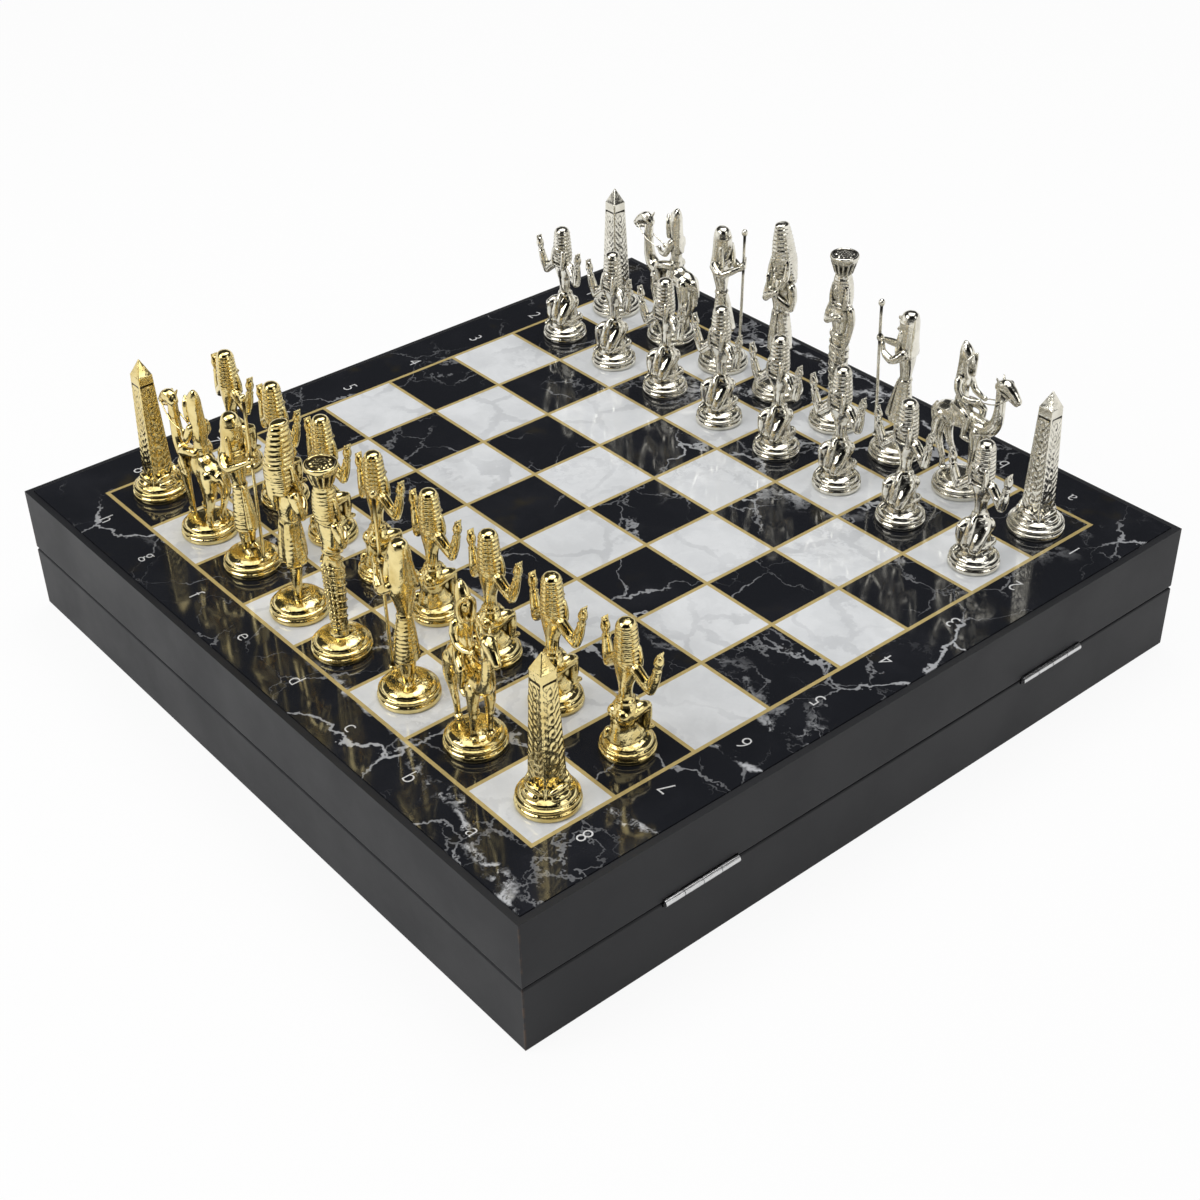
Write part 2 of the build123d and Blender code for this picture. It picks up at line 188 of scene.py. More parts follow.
def wear_group():
    """Where a painted edge has rubbed: narrow bands along the box's outer corners, broken by noise."""
    group, nodes, given, result = new_group(
        "edge_wear",
        [("Place", "NodeSocketVector", None), ("Reach", "NodeSocketFloat", 1.2 * MM)],
        [("Wear", "NodeSocketFloat")],
    )
    parts = nodes.add("ShaderNodeSeparateXYZ", {0: given["Place"]}).outputs
    gaps = [nodes.math("SUBTRACT", HALF_BOX, nodes.math("ABSOLUTE", parts[axis])) for axis in ("X", "Y")]
    far_gap = nodes.math("MAXIMUM", *gaps)
    edge = nodes.ramp(far_gap, 0.0, given["Reach"], 1.0, 0.0)
    broken = nodes.ramp(nodes.noise(given["Place"], 130.0, detail=5.0).outputs["Fac"], 0.46, 0.62)
    nodes.feed(result["Wear"], nodes.math("MULTIPLY", edge, broken))
    return group


def material(name):
    """A new material with its node helper, its Principled shader and its place in the part's frame."""
    made = bpy.data.materials.new(name)
    made.use_nodes = True
    nodes = Nodes(made.node_tree)
    shader = made.node_tree.nodes["Principled BSDF"]
    place = nodes.add("ShaderNodeTexCoord").outputs["Object"]
    return made, nodes, shader, place


# Finishes

def painted_wood(wear):
    """Satin black paint on fine fibreboard, with a faint orange peel and rubbed corners."""
    made, nodes, shader, place = material("satin_black_paint")
    mottle = nodes.noise(place, 22.0, detail=5.0)
    peel = nodes.noise(place, 900.0, detail=2.0)
    fibre = nodes.noise(nodes.add("ShaderNodeMapping", {"Vector": place, "Scale": (40, 40, 420)}).outputs[0],
                        1.0, detail=3.0)
    paint = nodes.mix(mottle.outputs["Fac"], (0.009, 0.0095, 0.0115, 1), (0.015, 0.0155, 0.018, 1))
    rubbed = use_group(nodes, wear, Place=place)["Wear"]
    worn = nodes.mix(nodes.math("MULTIPLY", rubbed, 0.75), paint, (0.085, 0.045, 0.022, 1))
    nodes.feed(shader.inputs["Base Color"], worn)
    nodes.feed(shader.inputs["Roughness"], nodes.ramp(mottle.outputs["Fac"], 0.3, 0.7, 0.40, 0.50))
    shader.inputs["IOR"].default_value = 1.33
    lumps = nodes.math("ADD", peel.outputs["Fac"], nodes.math("MULTIPLY", fibre.outputs["Fac"], 0.4))
    nodes.feed(shader.inputs["Normal"], nodes.bump(lumps, 0.16, 0.1 * MM))
    return made


def bare_panel():
    """Hardboard stained black, for the underside."""
    made, nodes, shader, place = material("stained_hardboard")
    fibres = nodes.noise(place, 260.0, detail=6.0, roughness=0.7)
    flecks = nodes.noise(place, 45.0, detail=4.0)
    shade = nodes.mix(fibres.outputs["Fac"], (0.030, 0.024, 0.020, 1), (0.062, 0.050, 0.042, 1))
    nodes.feed(shader.inputs["Base Color"], nodes.mix(flecks.outputs["Fac"], shade, (0.035, 0.030, 0.027, 1)))
    nodes.feed(shader.inputs["Roughness"], nodes.ramp(fibres.outputs["Fac"], 0.3, 0.7, 0.62, 0.80))
    nodes.feed(shader.inputs["Normal"], nodes.bump(fibres.outputs["Fac"], 0.35, 0.2 * MM))
    return made


def grid_masks(nodes, place):
    """Masks of the printed board: dark squares, gold lines, and the play area."""
    parts = nodes.add("ShaderNodeSeparateXYZ", {0: place}).outputs
    columns = [nodes.math("DIVIDE", parts[axis], SQUARE) for axis in ("X", "Y")]
    whole = [nodes.math("FLOOR", column) for column in columns]
    odd = nodes.math("ABSOLUTE", nodes.math("MODULO", nodes.math("ADD", *whole), 2.0))
    reach = nodes.math("MAXIMUM", *[nodes.math("ABSOLUTE", parts[axis]) for axis in ("X", "Y")])
    inside = nodes.math("LESS_THAN", reach, HALF_PLAY)
    offsets = [nodes.math("PINGPONG", column, 0.5) for column in columns]
    nearest = nodes.math("MULTIPLY", nodes.math("MINIMUM", *offsets), SQUARE)
    half_line = LINE_WIDTH / 2
    within = nodes.math("LESS_THAN", reach, HALF_PLAY + half_line)
    line = nodes.math("MULTIPLY", nodes.math("LESS_THAN", nearest, half_line), within)
    return odd, line, inside


def marble_board(marble):
    """Marble print under gloss lacquer: dark and light squares, gold lines and a dark border."""
    made, nodes, shader, place = material("marble_print")
    odd, line, inside = grid_masks(nodes, place)
    dark_veins = use_group(nodes, marble, Place=place, Scale=21.0, Thinness=0.016, Amount=0.22)
    fine_veins = use_group(nodes, marble, Place=nodes.vector_math("ADD", place, (3.1, 1.7, 0.4)),
                           Scale=40.0, Thinness=0.018, Amount=0.16)
    black = nodes.mix(nodes.ramp(dark_veins["Clouds"], 0.45, 0.80), (0.012, 0.013, 0.0165, 1),
                      (0.021, 0.022, 0.027, 1))
    olive_place = nodes.noise(place, 30.0, detail=3.0)
    olive = nodes.ramp(olive_place.outputs["Fac"], 0.60, 0.74)
    black = nodes.mix(nodes.math("MULTIPLY", olive, 0.55), black, (0.045, 0.036, 0.016, 1))
    light_lines = nodes.math("MAXIMUM", nodes.math("MULTIPLY", dark_veins["Veins"], 0.75),
                             nodes.math("MULTIPLY", fine_veins["Veins"], 0.35))
    light_lines = nodes.math("MAXIMUM", light_lines, nodes.math("MULTIPLY", dark_veins["Streaks"], 0.95))
    dark_marble = nodes.mix(light_lines, black, (0.55, 0.56, 0.58, 1))
    pale_veins = use_group(nodes, marble, Place=nodes.vector_math("ADD", place, (7.3, 4.1, 0.2)),
                           Scale=34.0, Thinness=0.07, Amount=0.34)
    cloud = nodes.ramp(pale_veins["Clouds"], 0.30, 0.72)
    pale = nodes.mix(cloud, (0.68, 0.695, 0.71, 1), (0.80, 0.815, 0.83, 1))
    pale_lines = nodes.math("MULTIPLY", nodes.math("MAXIMUM", pale_veins["Veins"], pale_veins["Streaks"]), 0.30)
    pale_marble = nodes.mix(pale_lines, pale, (0.30, 0.31, 0.33, 1))
    light_square = nodes.math("MULTIPLY", odd, inside)
    print_colour = nodes.mix(light_square, dark_marble, pale_marble)
    gold_tone = nodes.mix(nodes.noise(place, 400.0).outputs["Fac"], (0.42, 0.32, 0.12, 1), (0.60, 0.47, 0.21, 1))
    nodes.feed(shader.inputs["Base Color"], nodes.mix(line, print_colour, gold_tone))
    smears = nodes.noise(place, 60.0, detail=4.0)
    nodes.feed(shader.inputs["Roughness"], nodes.ramp(smears.outputs["Fac"], 0.35, 0.7, 0.055, 0.10))
    shader.inputs["IOR"].default_value = 1.5
    waves = nodes.noise(place, 35.0, detail=2.0)
    nodes.feed(shader.inputs["Normal"], nodes.bump(waves.outputs["Fac"], 0.05, 0.1 * MM))
    return made


def cast_metal(name, bright, deep, tarnish_and_shade, low_rough, high_rough):
    """Polished plated casting: bright on what stands out, duller in the hollows, where tarnish and painted shade darken
    the colour.
    """
    made, nodes, shader, place = material(name)
    hollow = nodes.add("ShaderNodeAttribute", attribute_name="hollow").outputs["Fac"]
    pits = nodes.noise(place, 1500.0, detail=3.0, roughness=0.6)
    ripples = nodes.noise(place, 420.0, detail=3.0)
    blotch = nodes.noise(place, 130.0, detail=4.0)
    plated = nodes.mix(nodes.ramp(blotch.outputs["Fac"], 0.35, 0.7), bright, deep)
    shaded = nodes.ramp(hollow, 0.15, 0.9)
    # Painted shade: the hollow mask darkens the plating towards the tarnish colour, standing in for shade in creases
    # and between parts as well as for tarnish.
    nodes.feed(shader.inputs["Base Color"], nodes.mix(shaded, plated, tarnish_and_shade))
    shader.inputs["Metallic"].default_value = 1.0
    rough = nodes.ramp(blotch.outputs["Fac"], 0.3, 0.75, low_rough, high_rough)
    nodes.feed(shader.inputs["Roughness"], nodes.math("ADD", rough, nodes.math("MULTIPLY", shaded, 0.22)))
    fine = nodes.bump(pits.outputs["Fac"], 0.30, 0.12 * MM)
    nodes.feed(shader.inputs["Normal"], nodes.bump(ripples.outputs["Fac"], 0.42, 0.5 * MM, fine))
    return made


def hinge_nickel():
    """Nickel plate on rolled steel, brushed along the barrels."""
    made, nodes, shader, place = material("hinge_nickel")
    strokes = nodes.noise(nodes.add("ShaderNodeMapping", {"Vector": place, "Scale": (3000, 160, 3000)}).outputs[0],
                          1.0, detail=2.0)
    cloudy = nodes.noise(place, 220.0, detail=3.0)
    nodes.feed(shader.inputs["Base Color"], nodes.mix(cloudy.outputs["Fac"], grey(0.62), grey(0.80)))
    shader.inputs["Metallic"].default_value = 1.0
    nodes.feed(shader.inputs["Roughness"], nodes.ramp(strokes.outputs["Fac"], 0.3, 0.7, 0.20, 0.34))
    nodes.feed(shader.inputs["Normal"], nodes.bump(strokes.outputs["Fac"], 0.15, 0.05 * MM))
    return made


def felt(name, dark, light):
    """Felt or flock: short matted fibres with a soft sheen."""
    made, nodes, shader, place = material(name)
    fibres = nodes.noise(place, 900.0, detail=6.0, roughness=0.75, distortion=1.5)
    nap = nodes.noise(place, 60.0, detail=3.0)
    shade = nodes.mix(fibres.outputs["Fac"], dark, light)
    nodes.feed(shader.inputs["Base Color"], nodes.mix(nodes.math("MULTIPLY", nap.outputs["Fac"], 0.5), shade, dark))
    nodes.feed(shader.inputs["Roughness"], nodes.ramp(fibres.outputs["Fac"], 0.3, 0.7, 0.86, 0.98))
    shader.inputs["Sheen Weight"].default_value = 0.35
    shader.inputs["Sheen Roughness"].default_value = 0.5
    nodes.feed(shader.inputs["Normal"], nodes.bump(fibres.outputs["Fac"], 0.6, 0.3 * MM))
    return made


def board_ink():
    """White screen-printed ink of the coordinates."""
    made, nodes, shader, place = material("white_ink")
    thin = nodes.noise(place, 1200.0, detail=3.0)
    nodes.feed(shader.inputs["Base Color"], nodes.mix(thin.outputs["Fac"], grey(0.55), grey(0.80)))
    nodes.feed(shader.inputs["Roughness"], nodes.ramp(thin.outputs["Fac"], 0.3, 0.7, 0.18, 0.30))
    return made


MARBLE = marble_group()
WEAR = wear_group()
PAINT = painted_wood(WEAR)
PANEL = bare_panel()
BOARD = marble_board(MARBLE)
# The third colour of each metal is the tarnish and painted shade of its hollows.
GOLD = cast_metal("gold_plate", (0.92, 0.77, 0.37, 1), (0.74, 0.57, 0.22, 1), (0.035, 0.024, 0.009, 1), 0.08, 0.17)
SILVER = cast_metal("nickel_plate", (0.90, 0.87, 0.77, 1), (0.70, 0.67, 0.57, 1), (0.040, 0.038, 0.032, 1), 0.10, 0.20)
NICKEL = hinge_nickel()
LINING = felt("black_felt", (0.010, 0.010, 0.012, 1), (0.050, 0.050, 0.056, 1))
FLOCK = felt("flocked_card", (0.014, 0.014, 0.016, 1), (0.060, 0.060, 0.066, 1))
PAD = felt("pad_felt", (0.009, 0.009, 0.011, 1), (0.044, 0.044, 0.050, 1))
INK = board_ink()


def dress(node_name, finish):
    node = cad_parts[node_name]
    node.data.materials.clear()
    node.data.materials.append(finish)


for node_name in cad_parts:
    if node_name.startswith(("base_", "lid_")):
        dress(node_name, PAINT)
    elif "divider" in node_name:
        dress(node_name, FLOCK)
    elif node_name.startswith("hinge"):
        dress(node_name, NICKEL)
    elif node_name.startswith("gold"):
        dress(node_name, GOLD)
    elif node_name.startswith("silver"):
        dress(node_name, SILVER)
dress("board", BOARD)
dress("base_floor", PANEL)
dress("base_lining", LINING)
dress("lid_pad", PAD)


# Cast figures. Each is gathered from overlapping forms in millimetres, standing on z = 0 and facing +Y,
# with its right hand towards +X, and is then cast: fused into one skin, eased, and thinned out.

ROUND = 20


def along(values, steps):
    """Points of a smooth line through the values (each a tuple of numbers), ends included."""
    line = []
    last = len(values) - 1
    for index in range(last):
        before, start, end, after = (values[max(0, min(last, index + step))] for step in (-1, 0, 1, 2))
        for part in range(steps):
            t = part / steps
            line.append(tuple(
                0.5 * (2 * b + (c - a) * t + (2 * a - 5 * b + 4 * c - d) * t * t + (3 * b - a - 3 * c + d) * t ** 3)
                for a, b, c, d in zip(before, start, end, after)
            ))
    line.append(tuple(values[-1]))
    return line


def oval(z, half_width, half_depth, x=0.0, y=0.0):
    turns = [2 * math.pi * n / ROUND for n in range(ROUND)]
    return [Vector((x + half_width * math.cos(a), y + half_depth * math.sin(a), z)) for a in turns]


class Casting:
    """The forms of one figure."""

    def __init__(self):
        self.points = []
        self.faces = []

    def skin(self, rings):
        """A closed body through rings that have as many corners each."""
        start, count = len(self.points), len(rings[0])
        for ring in rings:
            self.points.extend(ring)
        for low in range(start, start + (len(rings) - 1) * count, count):
            for n in range(count):
                after = (n + 1) % count
                self.faces.append((low + n, low + after, low + after + count, low + n + count))
        self.faces.append(tuple(range(start + count - 1, start - 1, -1)))
        top = len(self.points) - count
        self.faces.append(tuple(range(top, top + count)))

    def body(self, *sections, rib_pitch=0.0, rib_depth=0.0, steps=6):
        """A smooth upright form through (z, half width, half depth, x, y), with level ribs if a pitch is given."""
        whole = [tuple(section) + (0.0,) * (5 - len(section)) for section in sections]
        if rib_pitch:
            steps = max(steps, math.ceil((whole[-1][0] - whole[0][0]) / (len(whole) - 1) / rib_pitch * 6))
        rings = []
        for z, half_width, half_depth, x, y in along(whole, steps):
            rib = rib_depth * (2 * abs(math.sin(math.pi * z / rib_pitch)) ** 0.6 - 1) if rib_pitch else 0.0
            rings.append(oval(z, half_width + rib, half_depth + rib, x, y))
        self.skin(rings)

    def limb(self, points, radii, flat=1.0, steps=5):
        """A tapered limb with round ends along a smooth line. flat squeezes it across the X direction."""
        line = along([tuple(point) + (radius,) for point, radius in zip(points, radii)], steps)
        places = [Vector(entry[:3]) for entry in line]
        sizes = [entry[3] for entry in line]
        first = (places[1] - places[0]).normalized()
        last = (places[-1] - places[-2]).normalized()
        rings = []
        side = first.orthogonal().normalized() if abs(first.x) > 0.9 else Vector((1, 0, 0))
        for share in (0.15, 0.55, 0.85):
            rings.append((places[0] - first * sizes[0] * math.cos(math.asin(share)), sizes[0] * share, first))
        for index, place in enumerate(places):
            ahead = places[min(index + 1, len(places) - 1)] - places[max(index - 1, 0)]
            rings.append((place, sizes[index], ahead.normalized()))
        for share in (0.85, 0.55, 0.15):
            rings.append((places[-1] + last * sizes[-1] * math.cos(math.asin(share)), sizes[-1] * share, last))
        skins = []
        for place, radius, ahead in rings:
            across = (side - ahead * side.dot(ahead)).normalized()
            up = ahead.cross(across)
            skins.append([
                place + across * (radius * flat * math.cos(a)) + up * (radius * math.sin(a))
                for a in (2 * math.pi * n / 12 for n in range(12))
            ])
        self.skin(skins)

    def ball(self, place, size, tilt=(0.0, 0.0, 0.0)):
        """An ellipsoid with half sizes along its own axes, tilted by angles in degrees."""
        turned = Matrix.Rotation(math.radians(tilt[2]), 3, "Z") @ Matrix.Rotation(math.radians(tilt[1]), 3, "Y")
        turned = turned @ Matrix.Rotation(math.radians(tilt[0]), 3, "X")
        rings = []
        for step in range(1, 12):
            lift = math.pi * step / 12 - math.pi / 2
            ring = oval(math.sin(lift) * size[2], size[0] * math.cos(lift), size[1] * math.cos(lift))
            rings.append([turned @ corner + Vector(place) for corner in ring])
        self.skin(rings)

    def ring(self, z, half_width, half_depth, thick, x=0.0, y=0.0):
        """A round band about an upright form."""
        sections = []
        for step in range(-3, 4):
            lift = step / 3.4
            grow = thick * (math.sqrt(1 - lift * lift) - 0.9)
            sections.append(oval(z + lift * thick, half_width + grow, half_depth + grow, x, y))
        self.skin(sections)

    def lathe(self, profile):
        rings = []
        for radius, z in profile:
            rings.append([Vector((radius * math.cos(a), radius * math.sin(a), z))
                          for a in (2 * math.pi * n / 72 for n in range(72))])
        self.skin(rings)

    def plinth(self, radius, height):
        """The turned foot: two stepped rings and a low dome."""
        grow, rise = radius / 13, height / 9
        profile = [
            (12.3, 0), (12.8, 0.25), (13.0, 0.8), (13.0, 2.0), (12.8, 2.6), (12.2, 2.95), (11.9, 3.25),
            (12.1, 3.5), (12.5, 3.75), (12.6, 4.3), (12.3, 4.85), (11.6, 5.1), (11.1, 5.35), (11.2, 5.8),
            (10.6, 6.7), (9.0, 7.6), (6.6, 8.2), (3.0, 8.5), (0.5, 8.5),
        ]
        self.lathe([(r * grow, z * rise) for r, z in profile])

    def face(self, x, y, z, size):
        """A calm, plain face on the +Y side of a head: brow, nose, lips, chin, eyes and ears."""
        s = size
        self.ball((x, y, z), (0.80 * s, 0.92 * s, 1.16 * s))
        self.ball((x, y + 0.66 * s, z - 0.72 * s), (0.36 * s, 0.26 * s, 0.26 * s))
        self.limb([(x, y + 0.84 * s, z + 0.30 * s), (x, y + 1.10 * s, z - 0.16 * s)], [0.11 * s, 0.17 * s])
        self.ball((x, y + 0.88 * s, z - 0.44 * s), (0.27 * s, 0.14 * s, 0.09 * s))
        for side in (1, -1):
            self.ball((x + side * 0.32 * s, y + 0.80 * s, z + 0.14 * s), (0.17 * s, 0.10 * s, 0.10 * s))
            self.limb([(x + side * 0.12 * s, y + 0.86 * s, z + 0.36 * s),
                       (x + side * 0.50 * s, y + 0.72 * s, z + 0.34 * s)], [0.09 * s, 0.07 * s])
            self.ball((x + side * 0.80 * s, y, z), (0.12 * s, 0.24 * s, 0.32 * s))

    def hand(self, wrist, tip, side, spread=1.0):
        """An open hand from the wrist to the finger tips, thumb towards the body."""
        start, end = Vector(wrist), Vector(tip)
        reach = end - start
        palm = start + reach * 0.38
        self.limb([start, palm, start + reach * 0.6], [1.15, 1.55 * spread, 1.35 * spread])
        for finger in (-1.5, -0.5, 0.5, 1.5):
            root = start + reach * 0.5 + Vector((0, finger * 0.62 * spread, 0))
            self.limb([root, start + reach * 0.97 + Vector((0, finger * 0.72 * spread, 0))], [0.46, 0.36])
        self.limb([start + reach * 0.25, palm + Vector((-side * 1.5, 0.4, 0.6))], [0.6, 0.42])

    def foot(self, place, ahead, size=1.0):
        """A bare foot, from its heel towards ahead."""
        heel, toe = Vector(place), Vector(ahead)
        self.limb([heel, (heel + toe) / 2 + Vector((0, 0, 0.3)), toe], [1.3 * size, 1.35 * size, 1.0 * size])

    def mesh(self, name):
        """The forms as they are, in metres."""
        made = bpy.data.meshes.new(name)
        made.from_pydata([point * MM for point in self.points], [], self.faces)
        made.update()
        return made

    def cast(self, name, voxel, faces):
        """One skin from all the forms, eased and thinned to about that many faces."""
        rough = bpy.data.objects.new(name + "_rough", self.mesh(name + "_rough"))
        bpy.context.scene.collection.objects.link(rough)
        fuse = rough.modifiers.new("fuse", "REMESH")
        fuse.mode = "VOXEL"
        fuse.voxel_size = voxel * MM
        ease = rough.modifiers.new("ease", "SMOOTH")
        ease.factor = 0.5
        ease.iterations = 2
        shaped = bpy.data.meshes.new_from_object(rough.evaluated_get(bpy.context.evaluated_depsgraph_get()))
        count = max(1, sum(len(face.vertices) - 2 for face in shaped.polygons))
        rough.modifiers.clear()
        rough.data = shaped
        thin = rough.modifiers.new("thin", "DECIMATE")
        thin.ratio = min(1.0, faces / count)
        done = bpy.data.meshes.new_from_object(rough.evaluated_get(bpy.context.evaluated_depsgraph_get()))
        bpy.data.objects.remove(rough)
        done.name = name
        mark_hollows(done)
        return done


def mark_hollows(mesh):
    """Stores on each corner point how far it lies in a hollow, from 0 to 1, for the tarnish and painted shade."""
    count = len(mesh.vertices)
    place = np.empty(count * 3)
    mesh.vertices.foreach_get("co", place)
    place = place.reshape(-1, 3)
    facing = np.empty(count * 3)
    mesh.vertex_normals.foreach_get("vector", facing)
    facing = facing.reshape(-1, 3)
    ends = np.empty(len(mesh.edges) * 2, dtype=np.int64)
    mesh.edges.foreach_get("vertices", ends)
    ends = ends.reshape(-1, 2)
    joins = np.bincount(ends.ravel(), minlength=count).clip(1)[:, None]
    eased = place.copy()
    for _ in range(10):
        total = np.zeros_like(eased)
        np.add.at(total, ends[:, 0], eased[ends[:, 1]])
        np.add.at(total, ends[:, 1], eased[ends[:, 0]])
        eased = 0.5 * eased + 0.5 * total / joins
    depth = ((eased - place) * facing).sum(axis=1)
    hollow = (depth / (0.20 * MM) + 0.10).clip(0.0, 1.0)
    layer = mesh.attributes.new("hollow", "FLOAT", "POINT")
    layer.data.foreach_set("value", hollow)


def pawn_casting():
    """A kneeling man with a tall ribbed headdress, his right knee up and both hands raised."""
    made = Casting()
    made.plinth(11.5, 8)
    made.body((7.0, 6.6, 8.6, 0, -0.4), (9.4, 6.0, 8.0, 0, -0.6), (12.4, 4.9, 6.4, 0, -1.3), (15, 4.8, 5.3, 0, -1.9),
              (18, 5.5, 5.2, 0, -2.0), (21, 5.5, 4.7, 0, -1.5), (23.6, 4.2, 3.7, 0, -1.1), (26, 3.0, 2.9, 0, -0.9))
    made.body((22, 4.6, 4.0, 0, -1.2), (25, 3.3, 3.1, 0, -1), (28, 2.8, 2.6, 0, -0.8), (32, 3.3, 2.8, 0, -0.6),
              (36.5, 5.2, 3.4, 0, -0.3), (40.2, 6.4, 3.7, 0, -0.1), (42.6, 5.8, 3.1), (44.2, 3.2, 2.6))
    made.ring(24.6, 3.9, 3.6, 0.7, y=-1.0)
    made.ball((0, 2.5, 24.2), (1.4, 1.0, 1.3))
    made.limb([(0, 3.0, 23.4), (0.2, 4.8, 18.5), (0.2, 5.6, 12)], [1.3, 2.1, 2.9], flat=1.1)
    for side in (1, -1):
        made.ball((side * 2.4, -4.2, 18.8), (3.1, 3.0, 3.5), (12, 0, 0))
        made.limb([(side * 1.2, 4.6, 22.6), (side * 1.6, 5.8, 17.5), (side * 1.8, 6.6, 11.6)], [0.3, 0.35, 0.4])
    made.body((9, 3.6, 3.0, -0.6, 3.6), (13, 4.2, 3.2, -0.4, 3.4), (17.5, 4.2, 3.0, 0, 2.6), (21, 4.0, 2.8, 0, 1.2),
              (24, 3.2, 2.6, 0, -0.4))
    made.limb([(2.8, -0.8, 18.8), (3.5, 3.2, 20.0), (3.8, 6.2, 19.6)], [3.3, 2.9, 2.3])
    made.limb([(3.8, 6.2, 19.2), (3.9, 6.4, 14.6), (3.7, 5.8, 9.6)], [2.3, 2.1, 1.6])
    made.foot((3.7, 5.2, 8.9), (4.0, 9.0, 8.5), 1.15)
    made.limb([(-2.8, -0.5, 18.6), (-3.4, 3.4, 14), (-3.5, 5.4, 10.4)], [3.5, 3.1, 2.6])
    made.limb([(-3.5, 5.0, 9.8), (-3.5, -1.5, 9.5), (-3.3, -7.2, 9.7)], [2.5, 2.4, 1.8])
    made.foot((-3.3, -7.0, 10.8), (-3.3, -8.4, 8.0), 1.1)
    made.body((43.4, 4.7, 4.4, 0, 0), (46.5, 4.75, 4.7), (50.5, 4.5, 4.5), (55, 4.1, 4.2), (59.6, 3.75, 3.8),
              rib_pitch=1.85, rib_depth=0.36)
    made.body((58.8, 3.6, 3.6), (60.0, 3.5, 3.5), (60.9, 2.8, 2.8), (61.4, 1.6, 1.6), (61.5, 0.5, 0.5), steps=3)
    made.face(0, 2.3, 49.6, 3.2)
    for radius, height in ((6.0, 41.3), (5.0, 42.9)):
        made.ring(height, radius, radius * 0.68, 0.55, y=0.3)
    for side in (1, -1):
        made.limb([(side * 5.4, 0, 41.0), (side * 8.8, 0.4, 37.8), (side * 12.0, 1.2, 34.6)], [2.5, 2.45, 2.15])
        made.limb([(side * 12.0, 1.2, 34.6), (side * 13.5, 1.9, 39.6), (side * 14.8, 2.4, 45.0)], [2.2, 2.15, 1.55])
        made.ring(38.2, 2.35, 2.35, 0.5, x=side * 9.6, y=0.7)
        made.ring(44.6, 1.85, 1.85, 0.6, x=side * 14.6, y=2.4)
        made.hand((side * 14.8, 2.4, 45.4), (side * 15.9, 2.8, 53), side, 1.3)
        made.limb([(side * 3.6, 2.6, 49), (side * 4.0, 3.2, 44.5), (side * 3.6, 3.7, 40.4)], [1.15, 1.3, 1.05])
    return made


def bishop_casting(staff_height):
    """A standing priest in a flaring robe and a headcloth, who holds a tall staff out in front."""
    made = Casting()
    made.plinth(13, 9)
    made.body((19.5, 5.4, 5.0, 0, -0.8), (20.6, 5.5, 5.2, 0, -0.8), (26, 4.9, 4.7, 0, -1.2), (33, 4.1, 3.9, 0, -1.6),
              (38.5, 3.3, 3.1, 0, -1.9), (41.5, 3.1, 2.7, 0, -2), rib_pitch=1.9, rib_depth=0.15)
    made.body((40.5, 3.0, 2.6, 0, -2), (44, 3.4, 2.8, 0, -2.1), (49.5, 5.0, 3.4, 0, -2.3), (54, 6.5, 3.8, 0, -2.2),
              (57.2, 6.7, 3.3, 0, -2), (59.2, 3.2, 2.6, 0, -1.8))
    made.ring(40.8, 3.7, 3.3, 0.8, y=-2)
    made.limb([(0, 1.0, 40), (0, 2.6, 32), (0, 4.2, 22)], [0.9, 1.5, 2.3], flat=1.2)
    for side in (1, -1):
        made.limb([(side * 1.0, 1.6, 39.6), (side * 1.8, 3.4, 31), (side * 2.4, 5.2, 22)], [0.35, 0.4, 0.45])
        ahead = 1.5 * side
        made.limb([(side * 2.3, -1.4, 22), (side * 2.4, -1.0 + ahead, 15), (side * 2.4, -1.2 + ahead, 9.4)],
                  [2.4, 2.15, 1.5])
        made.foot((side * 2.4, -1.9 + ahead, 8.9), (side * 2.8, 2.6 + ahead, 8.5))
    made.body((54.6, 6.0, 2.3, 0, -4.7), (57.6, 6.2, 3.6, 0, -3.3), (61.5, 5.6, 4.3, 0, -2.4), (66, 5.0, 4.7, 0, -2.0),
              (71, 4.4, 4.6, 0, -2), (74.4, 3.3, 3.7, 0, -2.2), (75.8, 1.6, 2.0, 0, -2.4))
    made.ring(70.6, 4.5, 4.75, 0.5, y=-1.8)
    made.ball((0, 3.0, 71.8), (0.5, 0.7, 1.1))
    made.face(0, -0.4, 66.4, 3.5)
    made.ring(57.0, 6.2, 3.9, 0.55, y=-1.8)
    made.ring(58.4, 5.0, 3.6, 0.5, y=-1.7)
    for side in (1, -1):
        made.limb([(side * 4.1, 0.6, 66), (side * 4.5, 1.2, 60.5), (side * 3.9, 1.7, 55.5)], [1.1, 1.4, 1.1])
    made.limb([(6.0, -1.8, 56.4), (7.4, 1.4, 54.8), (7.0, 4.0, 54.0)], [2.4, 2.15, 1.95])
    made.limb([(7.0, 4.0, 54.0), (4.4, 8.0, 56.2), (1.4, 11.2, 58.2)], [2.0, 1.75, 1.3])
    made.ball((0.5, 12.0, 59.2), (1.7, 1.75, 2.0))
    made.limb([(-6.0, -1.8, 56.4), (-7.2, 1.0, 54.0), (-6.8, 3.4, 52.8)], [2.4, 2.1, 1.9])
    made.limb([(-6.8, 3.4, 52.8), (-5.9, 6.4, 54.4), (-4.9, 8.2, 56.2)], [1.95, 1.7, 1.2])
    made.hand((-4.9, 8.2, 56.2), (-4.5, 9.0, 61.6), -1, 0.7)
    made.limb([(0, 10.6, 7.6), (0, 11.4, 34), (0, 12.1, 60), (0, 12.3, staff_height - 3)], [0.8, 0.75, 0.75, 0.75])
    made.ball((0, 12.3, staff_height - 2.0), (1.6, 1.6, 1.9))
    made.ball((0, 10.6, 8.2), (1.8, 1.8, 1.1))
    return made


